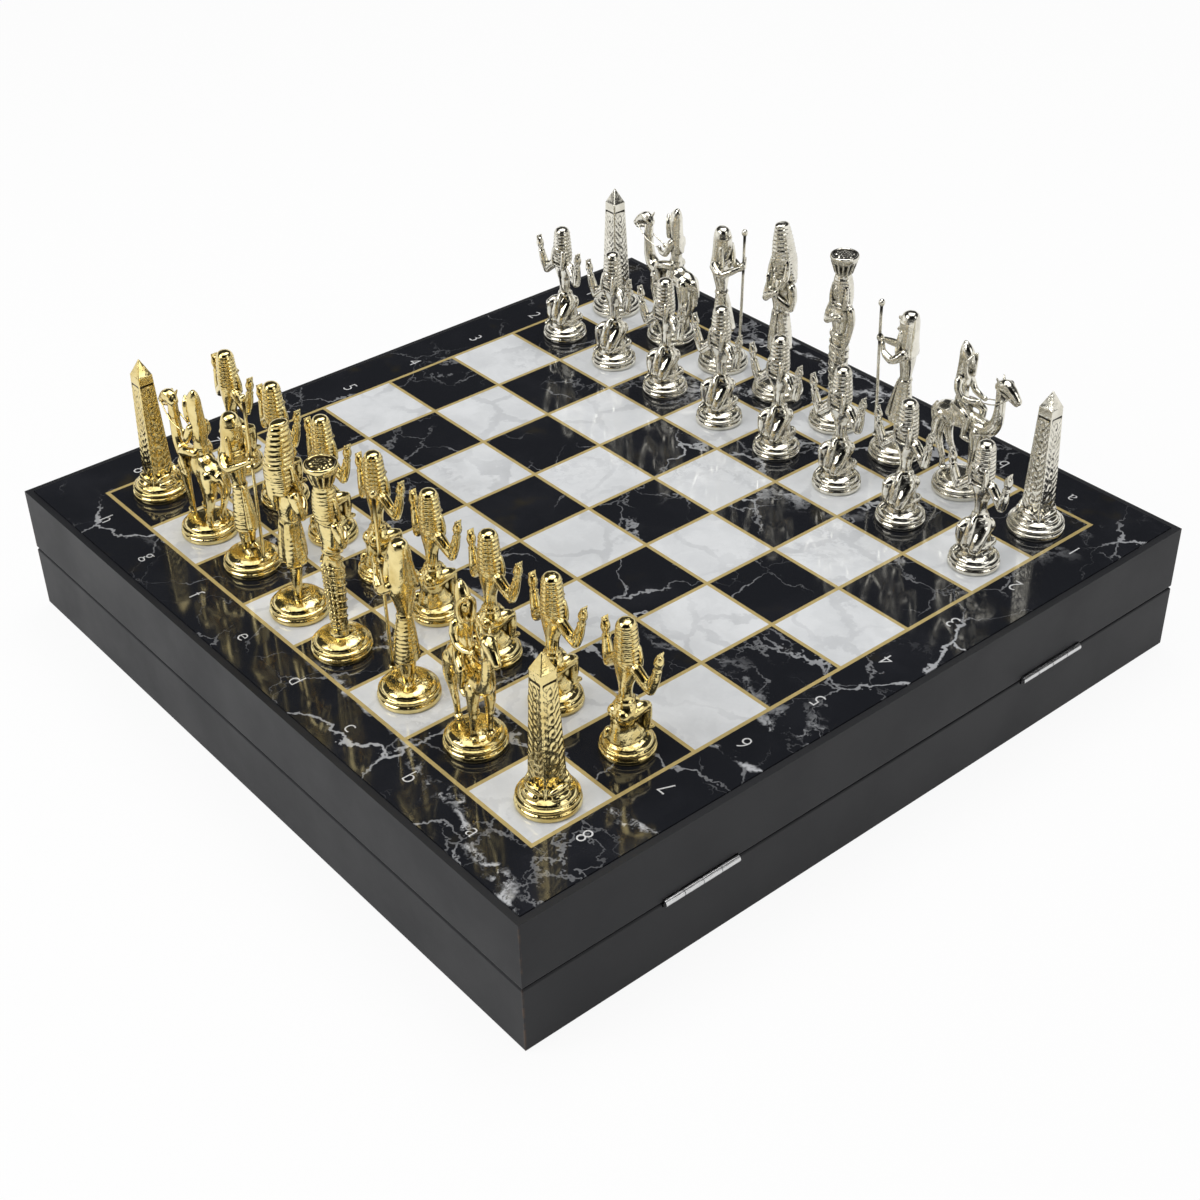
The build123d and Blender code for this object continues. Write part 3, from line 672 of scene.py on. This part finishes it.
def queen_casting():
    """A slim sheath dress wound with feathered bands, a layered wig and a flaring crown."""
    made = Casting()
    made.plinth(13, 9)
    dress = ((8, 4.5, 4.3), (10, 3.9, 3.8), (15, 3.5, 3.4), (24, 4.0, 3.8), (34, 4.7, 4.3), (41, 4.9, 4.4),
             (48.5, 3.7, 3.3), (54, 4.4, 3.6, 0, 0.3), (58.5, 5.1, 4.1, 0, 0.4), (62.5, 5.9, 3.5), (65.2, 5.0, 2.9),
             (67.2, 2.3, 2.2))
    made.body(*dress)
    for turn in range(9):
        start = 12 + turn * 4.0
        line = []
        for step in range(9):
            angle = math.radians(-60 + step * 37.5)
            z = start + 7.5 * (1 - step / 8)
            grow = 3.55 + 1.35 * math.sin(min(1.0, max(0.0, (z - 13) / 28)) * math.pi / 2)
            line.append((grow * math.cos(angle), grow * 0.92 * math.sin(angle), z))
        made.limb(line, [0.42] * len(line), steps=2)
    for column in range(4):
        angle = math.radians(-102 + column * 24)
        for row in range(17):
            z = 12.5 + row * 1.9
            grow = 3.6 + 1.3 * math.sin(min(1.0, max(0.0, (z - 13) / 28)) * math.pi / 2)
            made.ball((grow * math.cos(angle), grow * 0.93 * math.sin(angle), z), (0.6, 0.6, 0.68))
    made.ring(49.2, 4.2, 3.8, 0.65)
    made.ring(63.6, 6.3, 4.0, 0.6)
    made.ring(65.2, 5.1, 3.6, 0.55)
    made.face(0, 1.2, 73.6, 3.6)
    made.body((64.6, 4.6, 3.4, 0, -1.2), (68.5, 5.1, 4.6, 0, -0.6), (73, 4.9, 4.7, 0, -0.4), (77.5, 4.3, 4.4),
              (79.6, 3.6, 3.6), rib_pitch=1.6, rib_depth=0.2)
    made.lathe([(3.4, 77.6), (3.9, 78.2), (4.1, 79.2), (3.8, 79.8), (4.0, 80.8), (4.7, 83), (5.5, 85.4), (6.3, 87.2),
                (6.7, 87.8), (6.9, 88.5), (6.9, 89.3), (6.6, 89.85), (6.1, 90.0), (5.7, 89.75), (5.4, 89.4),
                (3, 89.5), (0.4, 89.6)])
    for n in range(14):
        angle = 2 * math.pi * n / 14
        made.limb([(4.2 * math.cos(angle), 4.2 * math.sin(angle), 80.8),
                   (6.1 * math.cos(angle), 6.1 * math.sin(angle), 87.0)], [0.34, 0.42])
    for n in range(22):
        angle, away = 2.4 * n, 0.95 * math.sqrt(n)
        made.ball((away * math.cos(angle), away * math.sin(angle), 89.5), (0.62, 0.5, 0.32), (0, 0, 50 * n))
    for side in (1, -1):
        made.limb([(side * 4.0, 1.6, 74), (side * 4.5, 2.2, 69), (side * 4.0, 3.0, 64)], [1.15, 1.3, 1.05])
        made.ball((side * 2.3, 3.4, 58.6), (1.9, 1.6, 1.8))
    made.limb([(5.8, 0, 62.6), (7.4, 0.3, 58.6), (7.7, 1.3, 54.6)], [2.0, 1.9, 1.65])
    made.limb([(7.7, 1.3, 54.6), (4.4, 4.6, 55.8), (0.2, 5.4, 58.2)], [1.7, 1.55, 1.15])
    made.ball((-1.4, 5.4, 59.0), (1.7, 0.9, 1.2), (0, -20, 0))
    made.limb([(-5.8, 0, 62.6), (-6.9, 0.2, 58), (-6.9, 0.8, 53)], [2.0, 1.85, 1.6])
    made.limb([(-6.9, 0.8, 53), (-6.5, 1.8, 48.4), (-5.7, 2.8, 44.6)], [1.6, 1.45, 1.1])
    made.hand((-5.6, 2.9, 44.4), (-5.0, 3.6, 39.8), -1, 0.7)
    for side in (1, -1):
        made.foot((side * 1.9, 0.5, 9.2), (side * 2.1, 4.8, 8.6))
    return made


def king_casting():
    """A king with his arms crossed on his chest, a pleated kilt, a striped headcloth and a tall crown."""
    made = Casting()
    made.plinth(13, 9)
    made.body((26.5, 4.6, 4.4), (28, 4.8, 4.6), (34, 4.5, 4.3), (41, 4.0, 3.8), (46, 3.6, 3.4))
    for side in (1, -1):
        made.body((25.2, 3.0, 4.3, side * 2.7, -0.2), (27, 3.2, 4.9, side * 2.7, -0.2), (34, 3.0, 4.6, side * 2.5, -0.2),
                  (41, 2.6, 4.0, side * 2.0, -0.1), (46.2, 2.2, 3.2, side * 1.7, 0), rib_pitch=2.1, rib_depth=0.12)
        for n in range(5):
            angle = math.radians(-80 + n * 40)
            made.limb([(side * (2.7 + 3.1 * math.cos(angle)), 4.8 * math.sin(angle) - 0.2, 25.6),
                       (side * (1.8 + 2.2 * math.cos(angle)), 3.4 * math.sin(angle), 45.6)], [0.5, 0.36])
    made.limb([(0, 3.4, 45), (0, 4.8, 36), (0, 5.2, 27)], [1.0, 1.4, 1.8], flat=1.1)
    made.limb([(0, 5.0, 44.6), (0, 6.3, 36), (0, 6.8, 28)], [0.35, 0.4, 0.45])
    made.body((45, 3.8, 3.3), (50, 4.7, 3.7), (55, 6.4, 4.3), (59, 7.3, 4.1), (61.6, 6.4, 3.4), (63.4, 3.2, 3.0))
    made.ring(46, 4.4, 3.9, 0.9)
    for side in (1, -1):
        step = 1.4 * side
        made.limb([(side * 2.7, 0, 28), (side * 2.8, 0.2 - step, 19), (side * 2.6, 0.0 - step, 9.6)], [2.7, 2.4, 1.7])
        made.foot((side * 2.6, -0.6 - step, 9.0), (side * 2.9, 4.2 - step, 8.6), 1.1)
        made.limb([(side * 6.7, 0, 60), (side * 8.3, 0.6, 55), (side * 8.4, 2.0, 50.6)], [2.5, 2.25, 1.95])
        made.limb([(side * 8.4, 2.0, 50.6), (side * 4.4, 5.0 + 0.5 * side, 53.6), (-side * 0.8, 6.0 + 0.7 * side, 57.2)],
                  [2.0, 1.8, 1.35])
        made.ball((-side * 2.4, 5.8 + 0.6 * side, 58.4), (1.7, 1.4, 1.6))
        made.limb([(-side * 2.2, 6.4, 54.5), (-side * 3.6, 6.2, 60), (-side * 5.4, 5.0, 64.6)], [0.5, 0.5, 0.5])
        made.limb([(side * 4.9, 1.4, 73), (side * 5.3, 2.4, 67), (side * 4.2, 4.2, 60.8)], [1.3, 1.65, 1.45])
    made.limb([(-5.4, 5.0, 64.6), (-6.4, 5.4, 66), (-6.2, 6.4, 66.6)], [0.5, 0.5, 0.4])
    made.face(0, 1.2, 69.4, 4.0)
    made.limb([(0, 5.0, 65.4), (0, 5.6, 62.8), (0, 6.0, 60.4)], [0.85, 0.75, 0.9])
    made.body((60.6, 5.4, 2.8, 0, -3.4), (63.5, 6.4, 4.2, 0, -2.6), (68, 6.3, 5.6, 0, -1.8), (73, 5.8, 6.3, 0, -1.2),
              (75.5, 5.4, 6.2, 0, -0.9), rib_pitch=1.9, rib_depth=0.3)
    made.limb([(0, -5.6, 66), (0, -5.8, 60), (0, -4.8, 53.5)], [2.4, 1.8, 1.1], flat=1.2)
    made.ring(73.6, 5.8, 6.4, 0.6, y=-0.9)
    made.body((72.6, 5.5, 6.2, 0, -0.9), (77, 5.1, 6.1, 0, -0.5), (81, 4.6, 5.7, 0, 0), (85, 4.0, 5.1, 0, 0.5),
              (89, 3.2, 4.3, 0, 1.0), (91.6, 2.6, 3.6, 0, 1.4), (92.2, 2.0, 2.8, 0, 1.5), rib_pitch=2.1, rib_depth=0.3)
    made.limb([(0, 6.0, 73.6), (0, 7.3, 75.4), (0, 6.7, 77.4), (0, 7.0, 78.8)], [0.6, 0.65, 0.55, 0.4])
    return made


def knight_casting():
    """A standing camel with a saddle cloth and reins, and a slim hooded rider."""
    made = Casting()
    made.plinth(13, 9)
    made.limb([(0, -16.0, 35.6), (0, -12, 36.4), (0, -5, 36.9), (0, 3, 36.2), (0, 10.0, 36.2)],
              [3.2, 5.1, 5.2, 4.9, 4.3])
    made.ball((0, -3.6, 40.0), (4.2, 7.0, 3.2))
    made.limb([(0, 8.2, 36.0), (0, 13.6, 37.0), (0, 17.0, 42.0), (0, 17.9, 50), (0, 17.6, 58.6)],
              [4.7, 3.8, 3.0, 2.5, 2.3])
    made.limb([(0, 16.8, 60.2), (0, 20.0, 61.6), (0, 24, 59.6), (0, 27.2, 56.6)], [2.5, 3.1, 2.5, 1.8])
    made.limb([(0, 18.8, 58.2), (0, 22.8, 56.8), (0, 26.4, 55.0)], [1.8, 1.55, 1.2])
    made.limb([(0, 19.2, 58.2), (0, 18.6, 55.4)], [1.6, 1.1])
    for side in (1, -1):
        made.limb([(side * 1.7, 17.2, 62.6), (side * 2.5, 16.2, 64.8)], [0.85, 0.4])
        made.ball((side * 2.4, 20.6, 62.4), (0.7, 0.95, 0.75))
        made.limb([(side * 1.9, 19.2, 63.4), (side * 2.5, 21.0, 63.5), (side * 2.3, 22.4, 62.4)], [0.4, 0.45, 0.35])
        made.ball((side * 1.1, 27.9, 57.0), (0.5, 0.6, 0.6))
        made.limb([(side * 2.8, -12.0, 35), (side * 3.6, -13.2, 27.5), (side * 3.5, -11.4, 20.5),
                   (side * 3.5, -9.0, 15), (side * 3.5, -8.6, 10)], [3.9, 2.9, 1.8, 1.45, 1.3])
        made.ball((side * 3.5, -11.2, 20.4), (1.7, 1.8, 1.9))
        made.ball((side * 3.5, -7.8, 9.3), (1.8, 2.4, 1.3))
        made.limb([(side * 2.8, 8.6, 34), (side * 3.5, 8.8, 27), (side * 3.4, 8.0, 20), (side * 3.4, 7.2, 14.5),
                   (side * 3.4, 7.0, 10)], [3.4, 2.4, 1.7, 1.4, 1.25])
        made.ball((side * 3.4, 8.3, 20.4), (1.65, 1.65, 1.8))
        made.ball((side * 3.4, 7.8, 9.3), (1.8, 2.3, 1.3))
        made.limb([(side * 2.2, 25.2, 58.2), (side * 2.9, 17, 52.0), (side * 2.3, 7.6, 49.4)], [0.36, 0.36, 0.36])
        made.limb([(side * 3.2, -3.6, 43.6), (side * 5.0, 1.4, 43.2), (side * 5.6, 4.8, 41.4)], [2.4, 2.2, 1.85])
        made.limb([(side * 5.6, 4.7, 41.2), (side * 5.7, 4.2, 36), (side * 5.5, 3.4, 31.8)], [1.85, 1.6, 1.2])
        made.foot((side * 5.5, 2.9, 31), (side * 5.8, 6.6, 30.4), 0.9)
        made.limb([(side * 3.7, -3.6, 56.4), (side * 4.9, -2.6, 52.8), (side * 4.8, -0.4, 49.4)], [1.9, 1.75, 1.5])
        made.limb([(side * 4.8, -0.4, 49.4), (side * 3.8, 3.6, 48.8), (side * 2.1, 7.0, 49.2)], [1.55, 1.4, 1.1])
        made.ball((side * 2.0, 7.6, 49.4), (1.2, 1.3, 1.3))
    made.limb([(0, -17.4, 37.6), (0, -19.6, 33.6), (0, -18.8, 27.8)], [1.2, 0.9, 0.7])
    made.ball((0, -18.6, 26.6), (1.0, 1.0, 1.9))
    made.body((34.0, 5.75, 5.4, 0, -3.2), (34.9, 5.9, 5.6, 0, -3.2), (38.6, 5.6, 5.7, 0, -3.2), (41.6, 4.3, 5.2, 0, -3.2),
              (43.2, 2.4, 3.8, 0, -3.2))
    made.ring(34.6, 5.9, 5.6, 0.45, y=-3.2)
    made.body((41.6, 3.9, 3.9, 0, -3.4), (45, 3.4, 3.2, 0, -3.5), (49.5, 3.1, 2.7, 0, -3.7), (54, 4.0, 2.9, 0, -3.8),
              (57.2, 3.8, 2.7, 0, -3.6), (59.4, 2.0, 2.0, 0, -3.2))
    made.ring(45.6, 3.6, 3.3, 0.5, y=-3.5)
    made.body((50.5, 2.6, 1.8, 0, -6.0), (54, 3.3, 2.0, 0, -5.6), (58, 3.4, 2.5, 0, -4.6), (62, 3.4, 3.3, 0, -3.6),
              (66, 3.3, 3.7, 0, -3.1), (69.6, 2.9, 3.5, 0, -3.3), (72.4, 1.9, 2.4, 0, -3.9), (74.3, 0.6, 0.8, 0, -4.6))
    made.face(0, -1.5, 65.0, 2.8)
    for side in (1, -1):
        made.limb([(side * 1.4, 1.2, 69.4), (side * 3.1, -0.2, 66.6), (side * 3.2, -0.6, 62), (side * 2.2, -0.2, 58.4)],
                  [0.8, 0.95, 1.0, 1.1])
    return made


def rook_relief(across, up):
    """Height of the carving on one obelisk face: across runs from -1 to 1, and up from 0 to 1."""
    inward = 1 - abs(across)
    if inward < 0.12:
        return 0.26 + 0.08 * math.sin(2 * math.pi * up * 30)
    if up < 0.012 or up > 0.93:
        return 0.24
    if up > 0.9:
        return 0.02
    if inward < 0.62:
        slope = up * 17 + inward * 2.0
        leaf = 0.5 + 0.5 * math.sin(2 * math.pi * slope)
        return 0.30 * leaf * min(1.0, (0.62 - inward) * 9)
    panel = up * 9.0
    inside = panel - int(panel)
    swirl = math.hypot(across * 2.3, (inside - 0.5) * 2.0)
    turn = math.atan2(inside - 0.5, across)
    return 0.30 * (0.5 + 0.5 * math.cos(6.4 * swirl - turn)) * (1.0 if swirl < 1.05 else 0.4)


def rook_casting():
    """A slim square obelisk with carved faces, a pyramid tip and broad leaves round its foot."""
    made = Casting()
    made.plinth(13, 9)
    foot, eaves, tip = 8.2, 61.7, 69.5
    wide_foot, wide_eaves = 5.3, 3.55
    rows, columns = 150, 22
    sides = [[] for _ in range(rows + 1)]
    for row in range(rows + 1):
        up = row / rows
        z = foot + (eaves - foot) * up
        half = wide_foot + (wide_eaves - wide_foot) * up
        for quarter in range(4):
            turned = Matrix.Rotation(math.pi / 2 * quarter, 3, "Z")
            for column in range(columns):
                across = -1 + 2 * column / columns
                lift = rook_relief(across, up) if column else 0.2
                sides[row].append(turned @ Vector((half * across, -half - lift + (0.12 if not column else 0), z)))
    made.skin(sides)
    square = [(-1, -1), (1, -1), (1, 1), (-1, 1)]
    blocks = (
        (eaves - 0.6, eaves + 0.3, wide_eaves + 0.16, wide_eaves + 0.2),
        (eaves + 0.3, tip, wide_eaves + 0.1, 0.2),
        (foot - 1, foot + 3.2, wide_foot + 1.1, wide_foot + 0.2),
    )
    for z0, z1, half0, half1 in blocks:
        made.skin([[Vector((half * x, half * y, z)) for x, y in square] for z, half in ((z0, half0), (z1, half1))])
    for quarter in range(4):
        turned = Matrix.Rotation(math.pi / 2 * quarter, 3, "Z")
        made.ball(turned @ Vector((0, -6.3, 9.0)), (5.0, 2.0, 3.6), (26, 0, 90 * quarter))
        made.ball(turned @ Vector((0, -8.0, 8.0)), (4.4, 2.2, 1.7), (20, 0, 90 * quarter))
    return made


CASTINGS = {
    "pawn": (pawn_casting, 0.27, 17000),
    "rook": (rook_casting, 0.24, 26000),
    "knight": (knight_casting, 0.29, 26000),
    "queen": (queen_casting, 0.25, 24000),
    "king": (king_casting, 0.28, 24000),
}
STAFF_HEIGHTS = {"gold": 91.0, "silver": 79.0}
SMALL_TURNS = {"gold_knight_b8": -14, "silver_bishop_c1": 21, "silver_bishop_f1": 5}


def figure_turn(name, kind, index, colour):
    """Knights look outwards, bishops look at the middle, and the rest at the other side."""
    outward = -90 if index < SQUARES / 2 else 90
    turns = {"knight": outward, "bishop": -outward}
    return math.radians(turns.get(kind, 0 if colour == "gold" else 180) + SMALL_TURNS.get(name, 0))


def foot_centre(node):
    """Where a CAD figure stands: the middle of its underside."""
    low = [vertex.co for vertex in node.data.vertices if vertex.co.z < TOP + 0.1 * MM]
    middle = sum(low, Vector()) / len(low)
    return Vector((middle.x, middle.y, TOP))


def stand_figures():
    finishes = {"gold": GOLD, "silver": SILVER}
    shapes = {}
    for kind, (make, voxel, faces) in CASTINGS.items():
        shape = make().cast(kind, voxel, faces)
        for colour in finishes:
            shapes[colour, kind] = shape.copy()
    for colour, height in STAFF_HEIGHTS.items():
        shapes[colour, "bishop"] = bishop_casting(height).cast("bishop_" + colour, 0.28, 24000)
    for (colour, kind), shape in shapes.items():
        shape.name = f"{colour}_{kind}_casting"
        shape.materials.append(finishes[colour])
        shape.polygons.foreach_set("use_smooth", [True] * len(shape.polygons))
    for name in list(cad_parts):
        if not name.startswith(tuple(finishes)):
            continue
        colour, kind, square_name = name.split("_")
        made = bpy.data.objects.new("cast_" + name, shapes[colour, kind])
        bpy.context.scene.collection.objects.link(made)
        made.location = foot_centre(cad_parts[name])
        made.rotation_euler = (0, 0, figure_turn(name, kind, LETTERS.index(square_name[0]), colour))
        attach(made, name + "_body")
        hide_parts(name)


stand_figures()


# Felt lining and foam pad

def soft_block(name, corners, counts, shape):
    """A closed block of even faces between two corners. shape moves a point, given its place from -1 to 1."""
    low, high = corners
    numbers, points, faces = {}, [], []

    def corner(cell):
        if cell not in numbers:
            share = [2 * step / count - 1 for step, count in zip(cell, counts)]
            flat = [a + (b - a) * (s + 1) / 2 for a, b, s in zip(low, high, share)]
            numbers[cell] = len(points)
            points.append(Vector(flat) + Vector(shape(*share)))
        return numbers[cell]

    for axis in range(3):
        across, up = (axis + 1) % 3, (axis + 2) % 3
        for end in (0, counts[axis]):
            for a in range(counts[across]):
                for b in range(counts[up]):
                    cells = []
                    for more_a, more_b in ((0, 0), (1, 0), (1, 1), (0, 1)):
                        cell = [0, 0, 0]
                        cell[axis], cell[across], cell[up] = end, a + more_a, b + more_b
                        cells.append(corner(tuple(cell)))
                    faces.append(cells if end else cells[::-1])
    mesh = bpy.data.meshes.new(name)
    mesh.from_pydata(points, [], faces)
    mesh.polygons.foreach_set("use_smooth", [True] * len(mesh.polygons))
    made = bpy.data.objects.new(name, mesh)
    bpy.context.scene.collection.objects.link(made)
    return made


def crowned(x, y, z):
    """The pad is flat where it is glued to the board. Its sides pull in, and its free face swells in the middle."""
    free = (1 - z) / 2
    edge = 1 - (1 - x ** 8) * (1 - y ** 8)
    swell = (1 - math.cos(math.pi * (x + 1))) * (1 - math.cos(math.pi * (y + 1))) / 4
    pulled = (1.2 * free + 0.9 * (1 - z * z)) * MM
    puckers = 0.12 * MM * math.sin(9 * x + 2 * math.sin(5 * y)) * math.sin(8 * y + 1.5 * math.sin(4 * x))
    return (-x * pulled, -y * pulled, free * (5.5 * MM * edge + 1.2 * MM * (1 - swell) + puckers))


def laid_felt(x, y, z):
    """Felt glued on the floor panel, a little uneven on its upper face."""
    upper = (1 + z) / 2
    return (0, 0, -upper * 0.06 * MM * (1 + math.sin(11 * x + 3 * y) * math.sin(9 * y - 4 * x)))


def lay_soft_parts():
    pad = soft_block("foam_pad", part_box("lid_pad"), (48, 48, 8), crowned)
    pad.data.materials.append(PAD)
    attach(pad, "lid")
    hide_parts("lid_pad")
    low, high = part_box("base_lining")
    felt_sheet = soft_block("felt_lining", (low, high), (48, 48, 1), laid_felt)
    felt_sheet.data.materials.append(LINING)
    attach(felt_sheet, "base")
    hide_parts("base_lining")


lay_soft_parts()


# Coordinates printed on the board's border

def print_mark(name, text, place, turn, below):
    """One printed letter or digit. Its foot is below place, and its top is turned by turn from +Y."""
    curve = bpy.data.curves.new(name, "FONT")
    curve.body = text
    curve.size = MARK_SIZE
    curve.align_x = "CENTER"
    curve.align_y = "BOTTOM_BASELINE"
    curve.extrude = 0.02 * MM
    curve.offset = -0.16 * MM
    made = bpy.data.objects.new(name, curve)
    bpy.context.scene.collection.objects.link(made)
    made.location = (place[0] + below * math.sin(turn), place[1] - below * math.cos(turn), TOP + 0.03 * MM)
    made.rotation_euler = (0, 0, turn)
    made.scale = (0.92, 1.0, 1.0)
    curve.materials.append(INK)
    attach(made, "lid")


def print_coordinates():
    """Letters and digits stand upright for the player on whose left or near side they are printed."""
    letter_gap, digit_gap = 11.0 * MM, 8.6 * MM
    for side, edge, turn in ((-1, "front", 0.0), (1, "back", math.pi)):
        for index, letter in enumerate(LETTERS):
            place = ((SQUARES / 2 - 0.5 - index) * SQUARE, side * (HALF_PLAY + letter_gap))
            print_mark(f"letter_{letter}_{edge}", letter, place, turn, 3.4 * MM)
    for side, edge, turn in ((-1, "opening", 0.0), (1, "hinge", math.pi)):
        for rank in range(1, SQUARES + 1):
            place = (side * (HALF_PLAY + digit_gap), (SQUARES / 2 + 0.5 - rank) * SQUARE)
            print_mark(f"digit_{rank}_{edge}", str(rank), place, turn, 1.5 * MM)


print_coordinates()


# Camera, lights and backdrop

PHOTO_LENS = 57.26
CAMERA_PLACE = Vector((0.57364, -0.46368, 0.53868))
CAMERA_AIM = Vector((-0.63055, 0.51563, -0.58011))
CAMERA_ROLL = math.radians(-1.26)


def place_camera():
    data = bpy.data.cameras.new("photo_camera")
    data.lens = PHOTO_LENS
    data.sensor_width = 36.0
    data.sensor_fit = "HORIZONTAL"
    data.clip_start = 0.01
    made = bpy.data.objects.new("photo_camera", data)
    bpy.context.scene.collection.objects.link(made)
    level = CAMERA_AIM.to_track_quat("-Z", "Y")
    made.rotation_mode = "QUATERNION"
    made.rotation_quaternion = level @ Quaternion((0, 0, 1), CAMERA_ROLL)
    made.location = CAMERA_PLACE
    bpy.context.scene.camera = made


def soft_box(name, place, aim, size, power):
    data = bpy.data.lights.new(name, "AREA")
    data.shape = "RECTANGLE"
    data.size, data.size_y = size
    data.energy = power
    made = bpy.data.objects.new(name, data)
    bpy.context.scene.collection.objects.link(made)
    made.location = place
    made.rotation_mode = "QUATERNION"
    made.rotation_quaternion = (Vector(aim) - Vector(place)).to_track_quat("-Z", "Y")


def studio_world():
    """A white backdrop with a dark gap above it, a bright ceiling, and a dim room behind the camera."""
    world = bpy.data.worlds.new("studio")
    world.use_nodes = True
    bpy.context.scene.world = world
    nodes = Nodes(world.node_tree)
    world.node_tree.nodes.clear()
    direction = nodes.add("ShaderNodeTexCoord").outputs["Generated"]
    parts = nodes.add("ShaderNodeSeparateXYZ", {0: direction}).outputs
    height = parts["Z"]
    behind = nodes.math("SUBTRACT", nodes.math("MULTIPLY", parts["X"], 0.78), nodes.math("MULTIPLY", parts["Y"], 0.63))
    walls = nodes.math("MULTIPLY", nodes.ramp(height, 0.16, 0.34, 1.0, 0.035), nodes.ramp(behind, 0.25, 0.75, 1.0, 0.10))
    ceiling = nodes.ramp(height, 0.84, 0.92, 0.0, 1.6)
    seen = nodes.add("ShaderNodeLightPath").outputs["Is Camera Ray"]
    room = nodes.math("MAXIMUM", nodes.math("MAXIMUM", walls, ceiling), seen)
    shine = nodes.add("ShaderNodeBackground", {"Color": grey(1.0), "Strength": room})
    output = nodes.add("ShaderNodeOutputWorld")
    nodes.feed(output.inputs["Surface"], shine.outputs[0])


def pale_floor():
    mesh = bpy.data.meshes.new("studio_floor")
    reach = 6.0
    corners = [(-reach, -reach, 0), (reach, -reach, 0), (reach, reach, 0), (-reach, reach, 0)]
    mesh.from_pydata([Vector(corner) - Vector((0, 0, 0.2 * MM)) for corner in corners], [], [(0, 1, 2, 3)])
    made = bpy.data.objects.new("studio_floor", mesh)
    bpy.context.scene.collection.objects.link(made)
    finish = bpy.data.materials.new("floor_white")
    finish.use_nodes = True
    nodes = Nodes(finish.node_tree)
    shader = finish.node_tree.nodes["Principled BSDF"]
    shader.inputs["Base Color"].default_value = grey(0.90)
    shader.inputs["Roughness"].default_value = 0.9
    rays = nodes.add("ShaderNodeLightPath").outputs
    mirrored = nodes.math("MAXIMUM", rays["Is Glossy Ray"], rays["Is Transmission Ray"])
    seen = nodes.math("MAXIMUM", nodes.math("MULTIPLY", rays["Is Camera Ray"], 0.92),
                      nodes.math("MULTIPLY", mirrored, 0.5))
    glow = nodes.add("ShaderNodeEmission", {"Color": grey(1.0), "Strength": 1.0})
    either = nodes.add("ShaderNodeMixShader")
    nodes.feed(either.inputs[0], seen)
    nodes.feed(either.inputs[1], shader.outputs[0])
    nodes.feed(either.inputs[2], glow.outputs[0])
    nodes.feed(finish.node_tree.nodes["Material Output"].inputs["Surface"], either.outputs[0])
    mesh.materials.append(finish)


bpy.context.scene.view_settings.view_transform = "Standard"
place_camera()
studio_world()
pale_floor()
soft_box("key_box", (-0.35, -1.25, 1.15), (0, 0, 0.05), (0.9, 0.7), 11.0)
soft_box("fill_box", (1.5, 0.35, 0.9), (0, 0, 0.05), (0.7, 0.9), 3.6)
soft_box("top_box", (-0.2, 0.5, 1.6), (0, 0, 0.05), (1.0, 1.0), 8.6)
